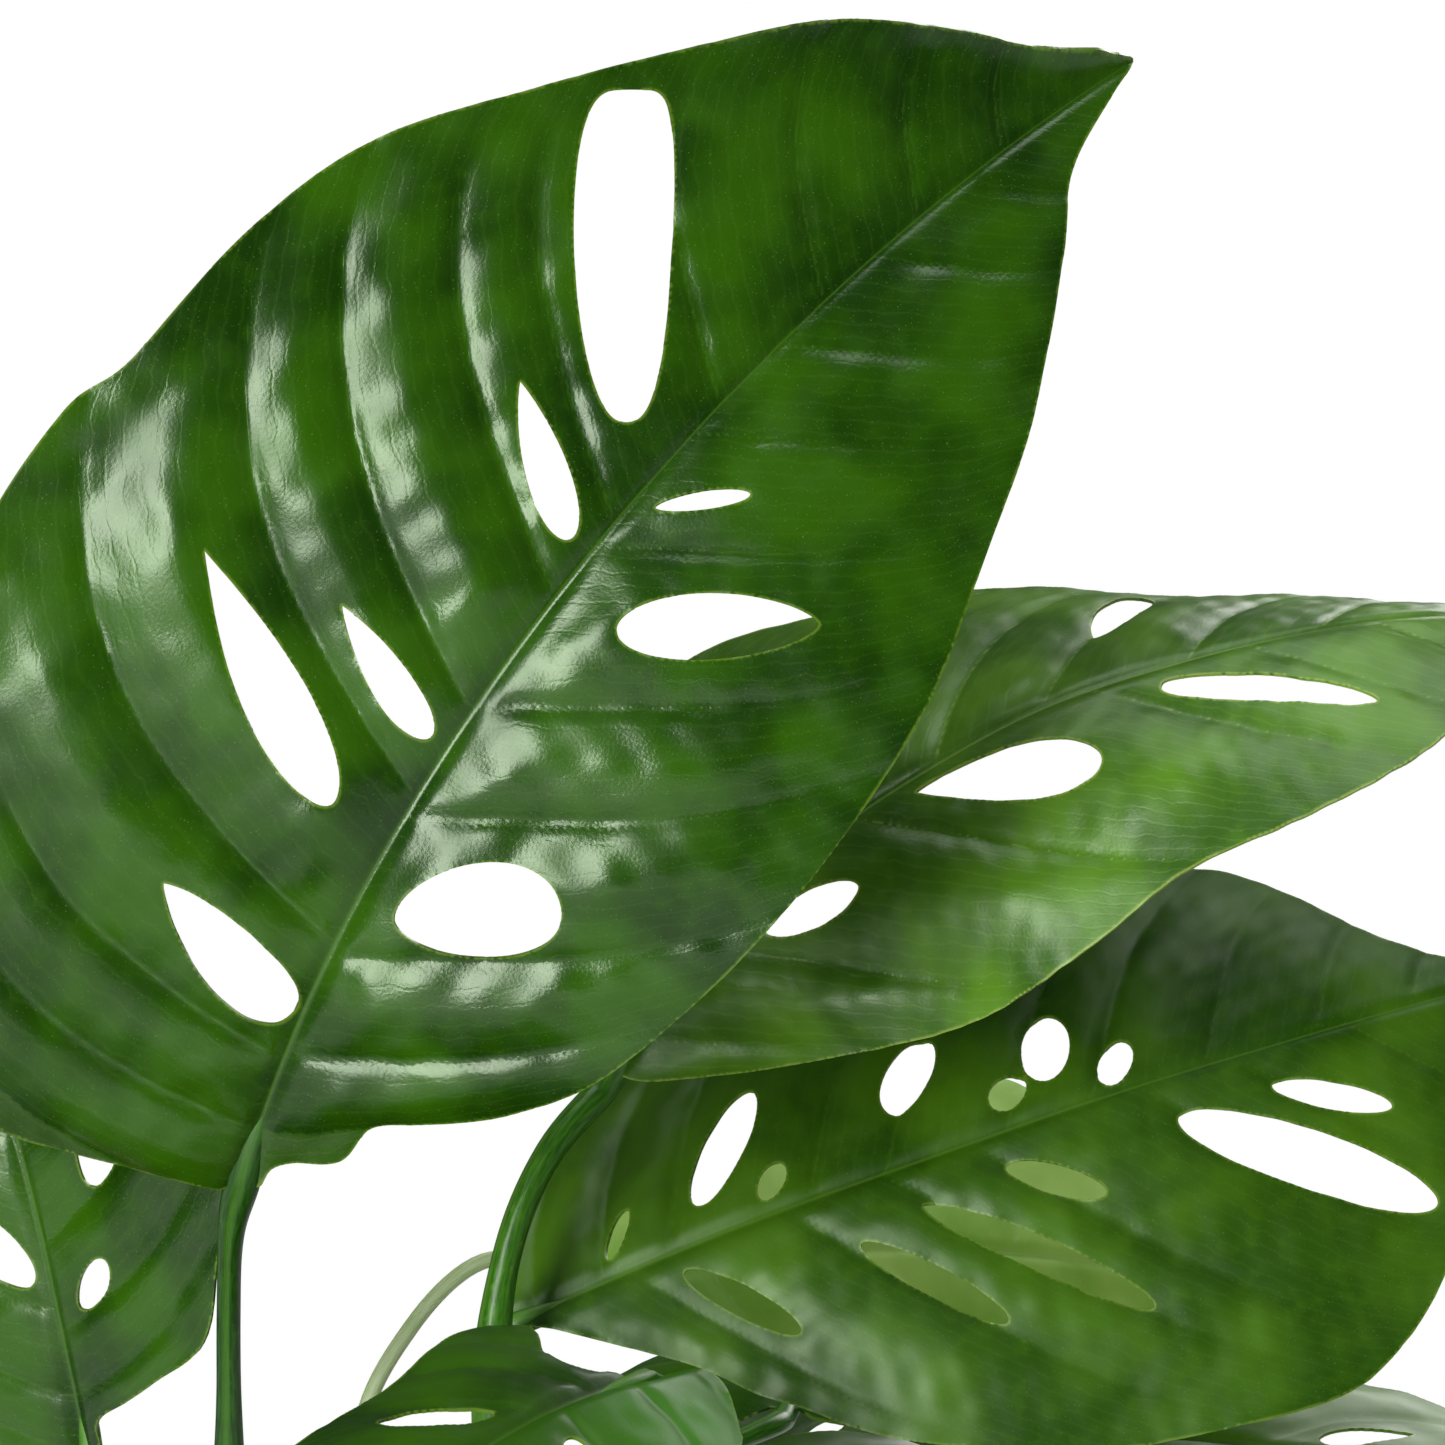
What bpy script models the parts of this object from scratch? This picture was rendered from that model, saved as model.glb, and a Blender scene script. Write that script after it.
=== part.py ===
"""Potted monstera (Swiss cheese plant): pot, soil, climbing stems, leaf stalks and perforated leaves.

Metres, +Z up. The origin is the centre of the pot's underside. Design values are in millimetres.
"""

import math

import bmesh
import bpy
from mathutils import Vector

MM = 0.001

# Pot and soil
POT_HEIGHT = 132.0
POT_BASE_RADIUS = 50.0
POT_NECK_RADIUS = 68.0
RIM_RADIUS = 75.0
RIM_HEIGHT = 30.0
WALL = 7.0
FLOOR = 8.0
DRAIN_RADIUS = 5.0
DRAIN_RING = 26.0
DRAIN_COUNT = 3
SOIL_TOP = 117.0
SOIL_CROWN = 3.0
GAP = 0.35
STEM_ROOM = 1.6
POT_STEPS = 40

# Stems, stalks and leaves
STEM_RADIUS = 3.2
STALK_RADIUS = 1.7
STALK_CLEARANCE = 2.6
STALK_BEHIND = 1.2
LEAF_THICKNESS = 0.8
STRIP = 18.0
HOLE_POINTS = 8
OUTLINE_STEPS = 1

# Half outline of an ordinary leaf: distance along the midrib and half width, as shares of the length
PLAIN_SIDE = [(-0.03, 0.045), (-0.025, 0.12), (0.04, 0.21), (0.16, 0.275), (0.31, 0.3), (0.47, 0.285),
              (0.63, 0.235), (0.78, 0.15), (0.89, 0.065), (0.96, 0.02)]

# Holes of an ordinary leaf on each side: start along the midrib, as a share of the length
PLAIN_HOLES = {"left": (0.17, 0.33, 0.5, 0.66), "right": (0.12, 0.27, 0.43, 0.59)}

STEMS = {
    "stem_left": [(-19, 6, 110), (-20, 3, 135), (-22, -1, 160), (-20.5, -3, 181)],
    "stem_right": [(13, -8, 110), (15, -5, 140), (13, -1, 172), (15, 0, 200)],
    "stem_back": [(12, 26, 110), (14, 30, 140), (20, 34, 165), (24, 38, 184)],
}

# Every leaf: midrib as four Bezier points, the directions that its face looks in at the base and at the tip,
# the fold along the midrib in degrees, the droop of the sides, the outline and holes in millimetres along
# and across the midrib, and the stalk's path from its stem up to the blade.
LEAVES = {
    "tall": {
        "midrib": [(-16, -30, 242), (2, -58, 300), (51, -49, 355), (98, -12, 383)],
        "faces": [(0.1, -1, 0.25), (0.1, -1, 0.2)], "fold": 7, "curl": 0.12,
        "left": [(-2, -4), (-5, -12), (-4, -22), (2, -38), (24, -56), (52, -64), (80, -61), (104, -57),
                 (130, -44), (152, -31), (170, -19), (183, -7)],
        "right": [(0, 4.5), (4, 10), (13, 15), (18, 24), (34, 38), (60, 45.5), (90, 47), (120, 41),
                  (142, 31), (160, 20), (174, 9), (186, 3)],
        "holes": [(109, -7, 138, -36, 12.5), (94, -3, 104, -20, 5.5), (104, 3, 113, 10.5, 2.6),
                  (88.5, 9, 106, 28, 8.6), (51, -8.5, 68, -39, 7.6), (63.5, -2.5, 71, -21, 5.2),
                  (22.5, -1.5, 33, -23, 8.8), (41, 5.5, 54.5, 23, 13)],
        "stalk": [(-20.4, -3.1, 182), (-20, -7, 202), (-19.6, -13, 219), (-18.6, -22, 232)],
    },
    "upper_right": {
        "midrib": [(30, 6, 249), (61, -11, 301), (122, -5, 317.5), (175, 6, 308)],
        "faces": [(0.17, -1.22, 0.85), (0.03, -0.11, 0.95)], "fold": -15, "curl": 0.11,
        "left": [(3, -6), (9, -16), (16, -27), (26, -37), (38, -46), (55, -49), (75, -45), (90, -38),
                 (104, -33), (120, -27), (138, -17), (153, -6)],
        "right": [(1, 4), (7, 10), (22, 21), (42, 30), (62, 34), (86, 31), (104, 31), (122, 26), (140, 15),
                  (156, 5)],
        "holes": [(88.5, -13, 95, -29.5, 8.5), (93.5, 4, 119, 15.5, 4.4), (58, 3, 82, 13, 8), (30, 5, 45, 10, 5)],
        "stalk": [(15.1, 0, 201), (14.5, -1, 214), (17, 0, 228), (22, 3, 239)],
    },
    "lower_right": {
        "midrib": [(16, 10, 215), (62, 6, 236), (112, 7, 252), (158, 26, 261)],
        "faces": [(-0.1, -0.75, 0.6), (0.15, -0.75, 0.6)], "fold": -10, "curl": 0.12,
        "left": [(0, -3.8), (2, -10), (5, -16), (7.5, -22.5), (14, -30.5), (21, -34), (32, -39), (48, -43),
                 (80, -43), (109, -35), (120, -27), (131, -12), (142, -3)],
        "right": [(3, 2), (11, 7.5), (22.5, 16.5), (33.5, 26), (48, 36), (60, 41), (76, 45), (100, 47),
                  (114, 42), (126, 31), (139, 15), (148, 4)],
        "holes": [(29.5, -5, 41, -20.5, 6.8), (15.8, -2.6, 20.2, -9.2, 2.6), (38, -2.2, 42, -6.6, 3.4),
                  (58, -8.5, 66, -19, 6.6), (71.2, -3.6, 76.3, -7, 4.6), (79, -5, 82.5, -16, 6.8),
                  (86.5, -1.5, 91, -7.5, 4.6), (25, 3.5, 37, 17, 4), (48.5, 8.5, 63.5, 25, 4),
                  (58, 6.5, 82.5, 29, 4.6), (70, 5, 81.5, 13, 4), (94, 6, 123.5, 27, 8.2),
                  (107.5, 5.5, 122, 13, 3.8)],
        "stalk": [(13.7, 4.8, 176), (14.5, 9.5, 190), (13.5, 13.5, 202), (13.5, 13, 209)],
    },
    "lower_left": {
        "midrib": [(-40, 4, 196), (-45, 0, 229), (-52, -4, 269), (-77, 14, 299)],
        "faces": [(-0.55, -0.8, 0.2), (-0.5, -0.8, 0.35)], "fold": 8, "curl": 0.1,
        "left": [(-3, -4), (-4, -13), (6, -24), (22, -32), (40, -34), (60, -31), (80, -23), (95, -12),
                 (104, -4)],
        "right": [(3, 4), (10, 10), (18, 24), (27, 29), (42, 32), (60, 31), (78, 24), (94, 12), (105, 3)],
        "holes": [(38.5, 11, 54, 20, 7), (22.5, 5, 29, 11.5, 4), (26, -2.5, 42, -17, 8), (52, -4, 64, -15, 5)],
        "stalk": [(-26.6, 1.5, 148), (-34, 3, 164), (-38.8, 4, 178), (-40, 4.5, 188)],
    },
    "front": {
        "midrib": [(34, -32, 215), (11, -59, 213), (-6, -89, 200), (-19, -120, 184)],
        "faces": [(-0.1, -0.6, 0.8), (-0.3, -0.8, 0.6)], "fold": -8, "curl": 0.1,
        "left": [(-2, -2.4), (-7.5, -2.8), (-10, -3.2), (-12, -4.5), (-10, -8), (-4, -16), (10, -26), (30, -30),
                 (52, -28), (74, -19), (92, -8), (102, -2)],
        "right": [(1.5, 2.8), (4, 3.2), (5, 7), (3.3, 12.8), (-3.3, 21), (-3, 23.2), (2, 24.8), (10, 24.4),
                  (20, 22), (28.5, 21.4), (40, 21.9), (54, 22), (74, 18), (90, 9), (101, 2)],
        "holes": [(23.5, 4.5, 34, 15, 6.5), (20, -6, 32, -21, 6), (46, -4, 58, -17, 6), (50, 4, 60, 14, 4.5)],
        "stalk": [(16.2, -6, 166), (26, -10, 184), (35, -16, 201), (38.5, -24, 210)],
    },
    "behind_right": {
        "midrib": [(34, 46, 216), (51.6, 52, 218), (77, 66, 219.8), (116, 88, 207.3)],
        "faces": [(-0.2, -0.75, 0.65), (0, -0.85, 0.5)], "fold": -5, "curl": 0.1,
        "left": [(-4, -2.4), (-6, -4.5), (-5.3, -8.5), (-1.5, -13.8), (3.5, -15.4), (7.6, -13.5), (10.3, -8.2),
                 (15, -6.7), (20, -10.3), (25, -17.7), (32.4, -22),
                 (40.3, -23.2), (48.2, -24.1), (56.2, -27.9), (63.3, -31.4), (67, -31.5), (71, -29), (75.4, -24.8),
                 (83, -15.7), (89, -4.8)],
        "right": [(-3, 2.4), (-1.4, 7.3), (5, 13), (15, 17.8), (29, 21.3), (43.7, 21.6), (58.6, 18), (72.6, 11.6),
                  (82.8, 6), (89.3, 2.4)],
        "holes": [],
        "stalk": [(10.6, 33.4, 148), (-4, 36, 170), (-5, 39, 194), (2, 40, 209), (12, 42, 218), (23, 51.5, 215)],
    },
    "far_right": {
        "midrib": [(86, 28, 195), (112, 22, 202), (150, 8, 195), (184, -6, 160)],
        "faces": [(0, -0.4, 0.9), (0.4, -0.3, 0.8)], "fold": -6, "curl": 0.12,
        "stalk": [(20, -4, 150), (40, 4, 170), (62, 16, 187), (80, 25, 194)],
    },
    "front_right": {
        "midrib": [(44, -14, 195), (62, -24, 199), (90, -46, 178), (102, -68, 140)],
        "faces": [(0.1, -0.5, 0.85), (0.6, -0.6, 0.3)], "fold": -6, "curl": 0.12,
        "stalk": [(18.4, -8.4, 146), (30, -10, 164), (38, -10, 180), (42.5, -11, 190)],
    },
    "far_left": {
        "midrib": [(-72, 40, 222), (-96, 38, 254), (-136, 26, 270), (-180, 10, 254)],
        "faces": [(-0.2, -0.7, 0.7), (-0.3, -0.6, 0.75)], "fold": 7, "curl": 0.12,
        "stalk": [(-25.5, 3, 158), (-38, 16, 180), (-53, 30, 200), (-65, 38, 213)],
    },
    "front_left": {
        "midrib": [(-34, -46, 166), (-52, -66, 178), (-82, -92, 162), (-100, -112, 122)],
        "faces": [(-0.2, -0.45, 0.9), (-0.6, -0.7, 0.35)], "fold": -6, "curl": 0.12,
        "stalk": [(-22.4, -3, 138), (-25, -15, 150), (-29, -30, 159), (-32, -40, 163)],
    },
    "back_left": {
        "midrib": [(-34, 56, 174), (-54, 80, 188), (-90, 112, 176), (-114, 134, 134)],
        "faces": [(-0.3, 0.2, 0.95), (-0.6, 0.7, 0.5)], "fold": -6, "curl": 0.12,
        "stalk": [(8.8, 31.3, 138), (-6, 38, 152), (-20, 45, 163), (-28, 51, 171)],
    },
    "back": {
        "midrib": [(54, 78, 192), (62, 112, 207), (68, 156, 191), (72, 190, 145)],
        "faces": [(0, 0.1, 1), (0, 0.85, 0.5)], "fold": -6, "curl": 0.12,
        "stalk": [(26.4, 41, 176), (35, 52, 184), (45, 64, 188), (52, 71, 190)],
    },
    "back_right": {
        "midrib": [(84, 62, 172), (112, 84, 188), (150, 108, 176), (182, 128, 136)],
        "faces": [(0.1, 0, 1), (0.7, 0.4, 0.5)], "fold": -6, "curl": 0.12,
        "stalk": [(19, 33.6, 142), (38, 44, 154), (60, 53, 163), (76, 59, 168)],
    },
    "low_back": {
        "midrib": [(-6, 64, 150), (-14, 88, 160), (-22, 118, 140), (-26, 134, 98)],
        "faces": [(0, 0.2, 1), (-0.1, 0.95, 0.3)], "fold": -6, "curl": 0.12,
        "stalk": [(9.4, 32.6, 130), (4, 41, 139), (0, 51, 145), (-4, 58, 148)],
    },
}

GREENS = {"tall": (0.03, 0.14, 0.02), "upper_right": (0.09, 0.22, 0.05), "lower_right": (0.05, 0.17, 0.03),
          "lower_left": (0.03, 0.13, 0.02), "front": (0.06, 0.2, 0.03), "behind_right": (0.2, 0.36, 0.14)}
PLAIN_GREEN = (0.05, 0.17, 0.03)
STALK_GREEN = (0.22, 0.36, 0.1)
STEM_GREEN = (0.12, 0.24, 0.06)
TERRACOTTA = (0.55, 0.23, 0.12)
SOIL_BROWN = (0.045, 0.03, 0.02)


def clear_scene():
    for old in list(bpy.data.objects):
        bpy.data.objects.remove(old, do_unlink=True)


def new_collection(name):
    collection = bpy.data.collections.new(name)
    bpy.context.scene.collection.children.link(collection)
    return collection


def paint(obj, name, colour, roughness):
    material = bpy.data.materials.new(name)
    material.use_nodes = True
    shader = material.node_tree.nodes["Principled BSDF"]
    shader.inputs["Base Color"].default_value = (*colour, 1.0)
    shader.inputs["Roughness"].default_value = roughness
    shader.inputs["Metallic"].default_value = 0.0
    obj.data.materials.append(material)


def add_mesh(name, bm, collection):
    mesh = bpy.data.meshes.new(name)
    bm.to_mesh(mesh)
    bm.free()
    obj = bpy.data.objects.new(name, mesh)
    collection.objects.link(obj)
    return obj


def turned(name, profile, collection):
    """A body of revolution about Z from a profile of (radius, height) that runs down its outer side."""
    bm = bmesh.new()
    points = [bm.verts.new((radius * MM, 0, height * MM)) for radius, height in profile]
    for upper, lower in zip(points, points[1:]):
        bm.edges.new((upper, lower))
    obj = add_mesh(name, bm, collection)
    screw = obj.modifiers.new("turn", "SCREW")
    screw.axis = "Z"
    screw.steps = POT_STEPS
    screw.render_steps = POT_STEPS
    screw.use_merge_vertices = True
    screw.merge_threshold = 0.00002
    screw.use_smooth_shade = True
    return obj


def inner_radius(height):
    """Inside radius of the pot's wall at a height."""
    share = (height - FLOOR) / (POT_HEIGHT - FLOOR)
    low = POT_BASE_RADIUS - WALL + 1
    high = POT_NECK_RADIUS - WALL + 5
    return low + (high - low) * share


def build_pot(collection, cutters):
    rim_bottom = POT_HEIGHT - RIM_HEIGHT
    profile = [
        (0, FLOOR), (inner_radius(FLOOR) - 3, FLOOR), (inner_radius(FLOOR + 3), FLOOR + 3),
        (inner_radius(POT_HEIGHT - 2), POT_HEIGHT - 2), (inner_radius(POT_HEIGHT) + 1.5, POT_HEIGHT),
        (RIM_RADIUS - 2, POT_HEIGHT), (RIM_RADIUS, POT_HEIGHT - 2), (RIM_RADIUS - 1.5, rim_bottom + 1),
        (RIM_RADIUS - 2.5, rim_bottom), (POT_NECK_RADIUS, rim_bottom - 1), (POT_BASE_RADIUS + 1, 1.2),
        (POT_BASE_RADIUS, 0), (0, 0),
    ]
    pot = turned("pot", profile, collection)
    for index in range(DRAIN_COUNT):
        angle = math.tau * (index + 0.25) / DRAIN_COUNT
        bm = bmesh.new()
        bmesh.ops.create_cone(bm, cap_ends=True, segments=16, radius1=DRAIN_RADIUS * MM,
                              radius2=DRAIN_RADIUS * MM, depth=4 * FLOOR * MM)
        centre = Vector((math.cos(angle), math.sin(angle), 0)) * DRAIN_RING * MM
        bmesh.ops.translate(bm, verts=bm.verts, vec=centre)
        cutter = add_mesh(f"drain_cutter_{index + 1}", bm, cutters)
        cutter.hide_render = True
        cutter.display_type = "WIRE"
        cut = pot.modifiers.new(f"drain_{index + 1}", "BOOLEAN")
        cut.operation = "DIFFERENCE"
        cut.solver = "EXACT"
        cut.object = cutter
    paint(pot, "terracotta", TERRACOTTA, 0.8)


def build_soil(collection, cutters, stem_paths):
    """The potting soil, with a hole cut where each stem goes into it."""
    top = SOIL_TOP
    profile = [
        (0, top + SOIL_CROWN), (20, top + SOIL_CROWN - 0.8), (45, top + 0.6),
        (inner_radius(top) - GAP, top - 1), (inner_radius(FLOOR + 3) - GAP, FLOOR + 3 + GAP),
        (inner_radius(FLOOR) - 3 - GAP, FLOOR + GAP), (0, FLOOR + GAP),
    ]
    soil = turned("soil", profile, collection)
    for name, path in stem_paths.items():
        base = Vector(path[0])
        bm = bmesh.new()
        bmesh.ops.create_cone(bm, cap_ends=True, segments=12, radius1=(STEM_RADIUS + STEM_ROOM) * MM,
                              radius2=(STEM_RADIUS + STEM_ROOM) * MM, depth=40 * MM)
        bmesh.ops.translate(bm, verts=bm.verts, vec=(base + Vector((0, 0, 20 - STEM_ROOM))) * MM)
        cutter = add_mesh(f"{name}_cutter", bm, cutters)
        cutter.hide_render = True
        cutter.display_type = "WIRE"
        cut = soil.modifiers.new(f"room_for_{name}", "BOOLEAN")
        cut.operation = "DIFFERENCE"
        cut.solver = "EXACT"
        cut.object = cutter
    paint(soil, "potting_soil", SOIL_BROWN, 0.95)


def smooth_path(points, spacing):
    """Points at an even spacing along a smooth curve through the given ones."""
    ends = [points[0] * 2 - points[1]] + points + [points[-1] * 2 - points[-2]]
    fine = []
    for before, start, end, after in zip(ends, ends[1:], ends[2:], ends[3:]):
        for step in range(12):
            t = step / 12
            fine.append(0.5 * (2 * start + (end - before) * t
                               + (2 * before - 5 * start + 4 * end - after) * t * t
                               + (3 * start - before - 3 * end + after) * t ** 3))
    fine.append(points[-1])
    length = sum((b - a).length for a, b in zip(fine, fine[1:]))
    count = max(3, round(length / spacing))
    kept, walked, target = [fine[0]], 0.0, length / count
    for a, b in zip(fine, fine[1:]):
        step = (b - a).length
        while walked + step >= target - 1e-6 and len(kept) < count:
            kept.append(a + (b - a) * ((target - walked) / step))
            target += length / count
        walked += step
    kept.append(fine[-1])
    return kept


def build_stalk(name, path, radius, taper, colour, collection, spacing):
    """A round stalk: a bevelled curve with closed ends, made a mesh."""
    points = smooth_path([Vector(point) for point in path], spacing)
    curve = bpy.data.curves.new(name, "CURVE")
    curve.dimensions = "3D"
    curve.bevel_depth = radius * MM
    curve.bevel_resolution = 2
    curve.use_fill_caps = True
    spline = curve.splines.new("POLY")
    spline.points.add(len(points) - 1)
    for index, point in enumerate(points):
        spline.points[index].co = (*(point * MM), 1)
        spline.points[index].radius = 1 + (taper - 1) * index / (len(points) - 1)
    guide = bpy.data.objects.new(f"{name}_guide", curve)
    collection.objects.link(guide)
    bpy.context.view_layer.update()
    mesh = bpy.data.meshes.new_from_object(guide.evaluated_get(bpy.context.evaluated_depsgraph_get()))
    bpy.data.objects.remove(guide)
    bm = bmesh.new()
    bm.from_mesh(mesh)
    bmesh.ops.remove_doubles(bm, verts=bm.verts, dist=0.00001)
    bmesh.ops.recalc_face_normals(bm, faces=bm.faces)
    obj = add_mesh(name, bm, collection)
    obj.data.shade_smooth()
    obj.data.set_sharp_from_angle(angle=math.radians(50))
    paint(obj, name, colour, 0.45)


class Blade:
    """The curved surface of one leaf: a point along and across the midrib becomes a point in space."""

    def __init__(self, leaf):
        a, b, c, d = [Vector(point) for point in leaf["midrib"]]
        steps = 80
        self.points = []
        for index in range(steps + 1):
            t = index / steps
            self.points.append(a * (1 - t) ** 3 + b * 3 * t * (1 - t) ** 2 + c * 3 * t * t * (1 - t) + d * t ** 3)
        self.walked = [0.0]
        for before, after in zip(self.points, self.points[1:]):
            self.walked.append(self.walked[-1] + (after - before).length)
        self.length = self.walked[-1]
        self.faces = [Vector(face).normalized() for face in leaf["faces"]]
        self.fold = math.radians(leaf["fold"])
        self.curl = leaf["curl"] / (0.3 * self.length)

    def along(self, distance):
        inside = min(max(distance, 0.0), self.length)
        index = 0
        while index < len(self.points) - 2 and self.walked[index + 1] < inside:
            index += 1
        share = (inside - self.walked[index]) / (self.walked[index + 1] - self.walked[index])
        return self.points[index].lerp(self.points[index + 1], share), inside

    def place(self, distance, across, behind=0.0):
        point, inside = self.along(distance)
        ahead = (self.along(inside + 1)[0] - self.along(inside - 1)[0]).normalized()
        point = point + ahead * (distance - inside)
        face = self.faces[0].lerp(self.faces[1], inside / self.length)
        face = (face - ahead * face.dot(ahead)).normalized()
        side = ahead.cross(face)
        rise = abs(across) * math.sin(self.fold) - self.curl * across * across - behind
        return (point + side * (across * math.cos(self.fold)) + face * rise) * MM


def rounded(points, steps):
    """A closed smooth loop through the points."""
    loop = []
    count = len(points)
    for index in range(count):
        before, start, end, after = [Vector(points[(index + k) % count]) for k in (-1, 0, 1, 2)]
        for step in range(steps):
            t = step / steps
            loop.append(0.5 * (2 * start + (end - before) * t
                               + (2 * before - 5 * start + 4 * end - after) * t * t
                               + (3 * start - before - 3 * end + after) * t ** 3))
    return loop


def hole_loop(u1, w1, u2, w2, width):
    """An egg-shaped hole from its end by the midrib to its outer end, fuller at the inner end."""
    inner, outer = Vector((u1, w1)), Vector((u2, w2))
    axis = outer - inner
    cross = Vector((-axis.y, axis.x)).normalized()
    loop = []
    for index in range(HOLE_POINTS):
        turn = math.tau * index / HOLE_POINTS
        share = 0.5 - 0.5 * math.cos(turn)
        half = 0.5 * width * math.sin(turn) * (1.12 - 0.3 * share)
        loop.append(inner + axis * share + cross * half)
    return loop


def plain_leaf(leaf, length):
    """Outline and holes of an ordinary leaf of this length."""
    leaf["left"] = [(u * length, -w * 1.06 * length) for u, w in PLAIN_SIDE]
    leaf["right"] = [(u * length, w * 0.95 * length) for u, w in PLAIN_SIDE]
    leaf["holes"] = []
    for sign, side in ((-1, "left"), (1, "right")):
        for index, start in enumerate(PLAIN_HOLES[side]):
            long = 0.13 - 0.02 * index
            leaf["holes"].append((start * length, sign * 0.035 * length,
                                  (start + 0.07 + 0.012 * index) * length,
                                  sign * (0.035 + long) * length, (0.05 - 0.005 * index) * length))


def leaf_sheet(name, leaf, blade, collection):
    """The flat outline with its holes as a filled curve, cut across into strips that can bend."""
    curve = bpy.data.curves.new(name, "CURVE")
    curve.dimensions = "2D"
    curve.fill_mode = "BOTH"
    edge = [(0, 0)] + leaf["left"] + [(blade.length, 0)] + leaf["right"][::-1]
    loops = [rounded(edge, OUTLINE_STEPS)] + [hole_loop(*hole) for hole in leaf["holes"]]
    for loop in loops:
        spline = curve.splines.new("POLY")
        spline.points.add(len(loop) - 1)
        spline.use_cyclic_u = True
        for index, point in enumerate(loop):
            spline.points[index].co = (point[0], point[1], 0, 1)
    guide = bpy.data.objects.new(f"{name}_guide", curve)
    collection.objects.link(guide)
    bpy.context.view_layer.update()
    mesh = bpy.data.meshes.new_from_object(guide.evaluated_get(bpy.context.evaluated_depsgraph_get()))
    bpy.data.objects.remove(guide)
    bm = bmesh.new()
    bm.from_mesh(mesh)
    bmesh.ops.remove_doubles(bm, verts=bm.verts, dist=0.0001)
    cuts = [((0, 0, 0), (0, 1, 0))]
    cuts += [((STRIP * step, 0, 0), (1, 0, 0)) for step in range(int(blade.length / STRIP) + 1)]
    for point, normal in cuts:
        geometry = bm.verts[:] + bm.edges[:] + bm.faces[:]
        cut = bmesh.ops.bisect_plane(bm, geom=geometry, dist=0.05, plane_co=point, plane_no=normal)
        for item in cut["geom_cut"]:
            if isinstance(item, bmesh.types.BMEdge):
                item.seam = True
    bmesh.ops.dissolve_degenerate(bm, dist=0.1, edges=bm.edges)
    bmesh.ops.dissolve_limit(bm, angle_limit=0.02, verts=bm.verts, edges=bm.edges, delimit={"SEAM"})
    bmesh.ops.triangulate(bm, faces=bm.faces)
    for vert in bm.verts:
        vert.co = blade.place(vert.co.x, vert.co.y)
    return bm


def build_leaf(name, leaf, collection):
    blade = Blade(leaf)
    if "left" not in leaf:
        plain_leaf(leaf, blade.length)
    leaf_name = f"leaf_{name}"
    obj = add_mesh(leaf_name, leaf_sheet(leaf_name, leaf, blade, collection), collection)
    solid = obj.modifiers.new("thickness", "SOLIDIFY")
    solid.thickness = LEAF_THICKNESS * MM
    solid.offset = 0
    obj.data.shade_smooth()
    paint(obj, leaf_name, GREENS.get(name, PLAIN_GREEN), 0.4)
    tip = blade.place(-STALK_CLEARANCE, 0, behind=STALK_BEHIND) / MM
    build_stalk(f"stalk_{name}", leaf["stalk"] + [tip], STALK_RADIUS, 0.9, STALK_GREEN, collection, 9.0)


def main():
    clear_scene()
    plant = new_collection("potted_monstera")
    cutters = new_collection("cutters")
    build_pot(plant, cutters)
    build_soil(plant, cutters, STEMS)
    for name, path in STEMS.items():
        build_stalk(name, path, STEM_RADIUS, 0.85, STEM_GREEN, plant, 10.0)
    for name, leaf in LEAVES.items():
        build_leaf(name, leaf, plant)


main()
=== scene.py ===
import math
import random

import bmesh
import bpy
import numpy as np
from mathutils import Matrix, Vector, kdtree


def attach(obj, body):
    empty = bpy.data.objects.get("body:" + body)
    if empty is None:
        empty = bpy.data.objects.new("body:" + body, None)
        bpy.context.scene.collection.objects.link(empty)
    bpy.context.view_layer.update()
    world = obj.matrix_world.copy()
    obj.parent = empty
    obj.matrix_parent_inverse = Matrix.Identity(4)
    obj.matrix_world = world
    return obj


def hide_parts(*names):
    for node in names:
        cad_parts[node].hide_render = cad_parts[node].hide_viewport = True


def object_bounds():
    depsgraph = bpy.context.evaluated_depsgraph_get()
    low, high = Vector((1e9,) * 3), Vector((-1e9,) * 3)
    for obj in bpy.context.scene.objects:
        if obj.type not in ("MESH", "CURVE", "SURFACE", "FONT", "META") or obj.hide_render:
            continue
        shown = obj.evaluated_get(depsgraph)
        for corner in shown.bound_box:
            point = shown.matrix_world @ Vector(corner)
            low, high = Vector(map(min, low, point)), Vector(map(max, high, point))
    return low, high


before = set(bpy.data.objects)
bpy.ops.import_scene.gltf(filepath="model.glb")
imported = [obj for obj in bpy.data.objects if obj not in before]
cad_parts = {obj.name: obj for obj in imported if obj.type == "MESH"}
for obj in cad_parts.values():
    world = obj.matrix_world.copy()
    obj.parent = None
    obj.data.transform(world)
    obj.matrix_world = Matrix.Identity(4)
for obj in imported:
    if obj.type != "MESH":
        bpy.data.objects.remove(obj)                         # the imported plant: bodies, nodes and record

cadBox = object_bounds()
mm = 0.001
plantParts = bpy.data.collections.new("monstera")
bpy.context.scene.collection.children.link(plantParts)

studio = {                                # metres and degrees; seen is the width in view at the target
    "target": (0.045, -0.020, 0.298), "distance": 1.0, "elevation": 5.0, "seen": 0.1864, "sensor": 36.0,
    "floorRadius": 1.0, "floorColour": (0.86, 0.86, 0.85), "sky": 0.06,
}

softboxes = [                             # name, place, aim, width and height in metres, watts, colour
    ("keyLight", (-0.61, -1.08, 0.48), (0.03, -0.02, 0.29), (0.42, 0.9), 17.0, (1.0, 1.0, 0.96)),
    ("topLight", (0.1, -0.1, 1.5), (0.04, 0.0, 0.25), (0.9, 0.9), 8.0, (0.98, 1.0, 0.98)),
    ("backLight", (0.6, 0.95, 0.8), (0.03, 0.02, 0.26), (0.8, 0.8), 9.0, (1.0, 1.0, 0.97)),
]


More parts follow.
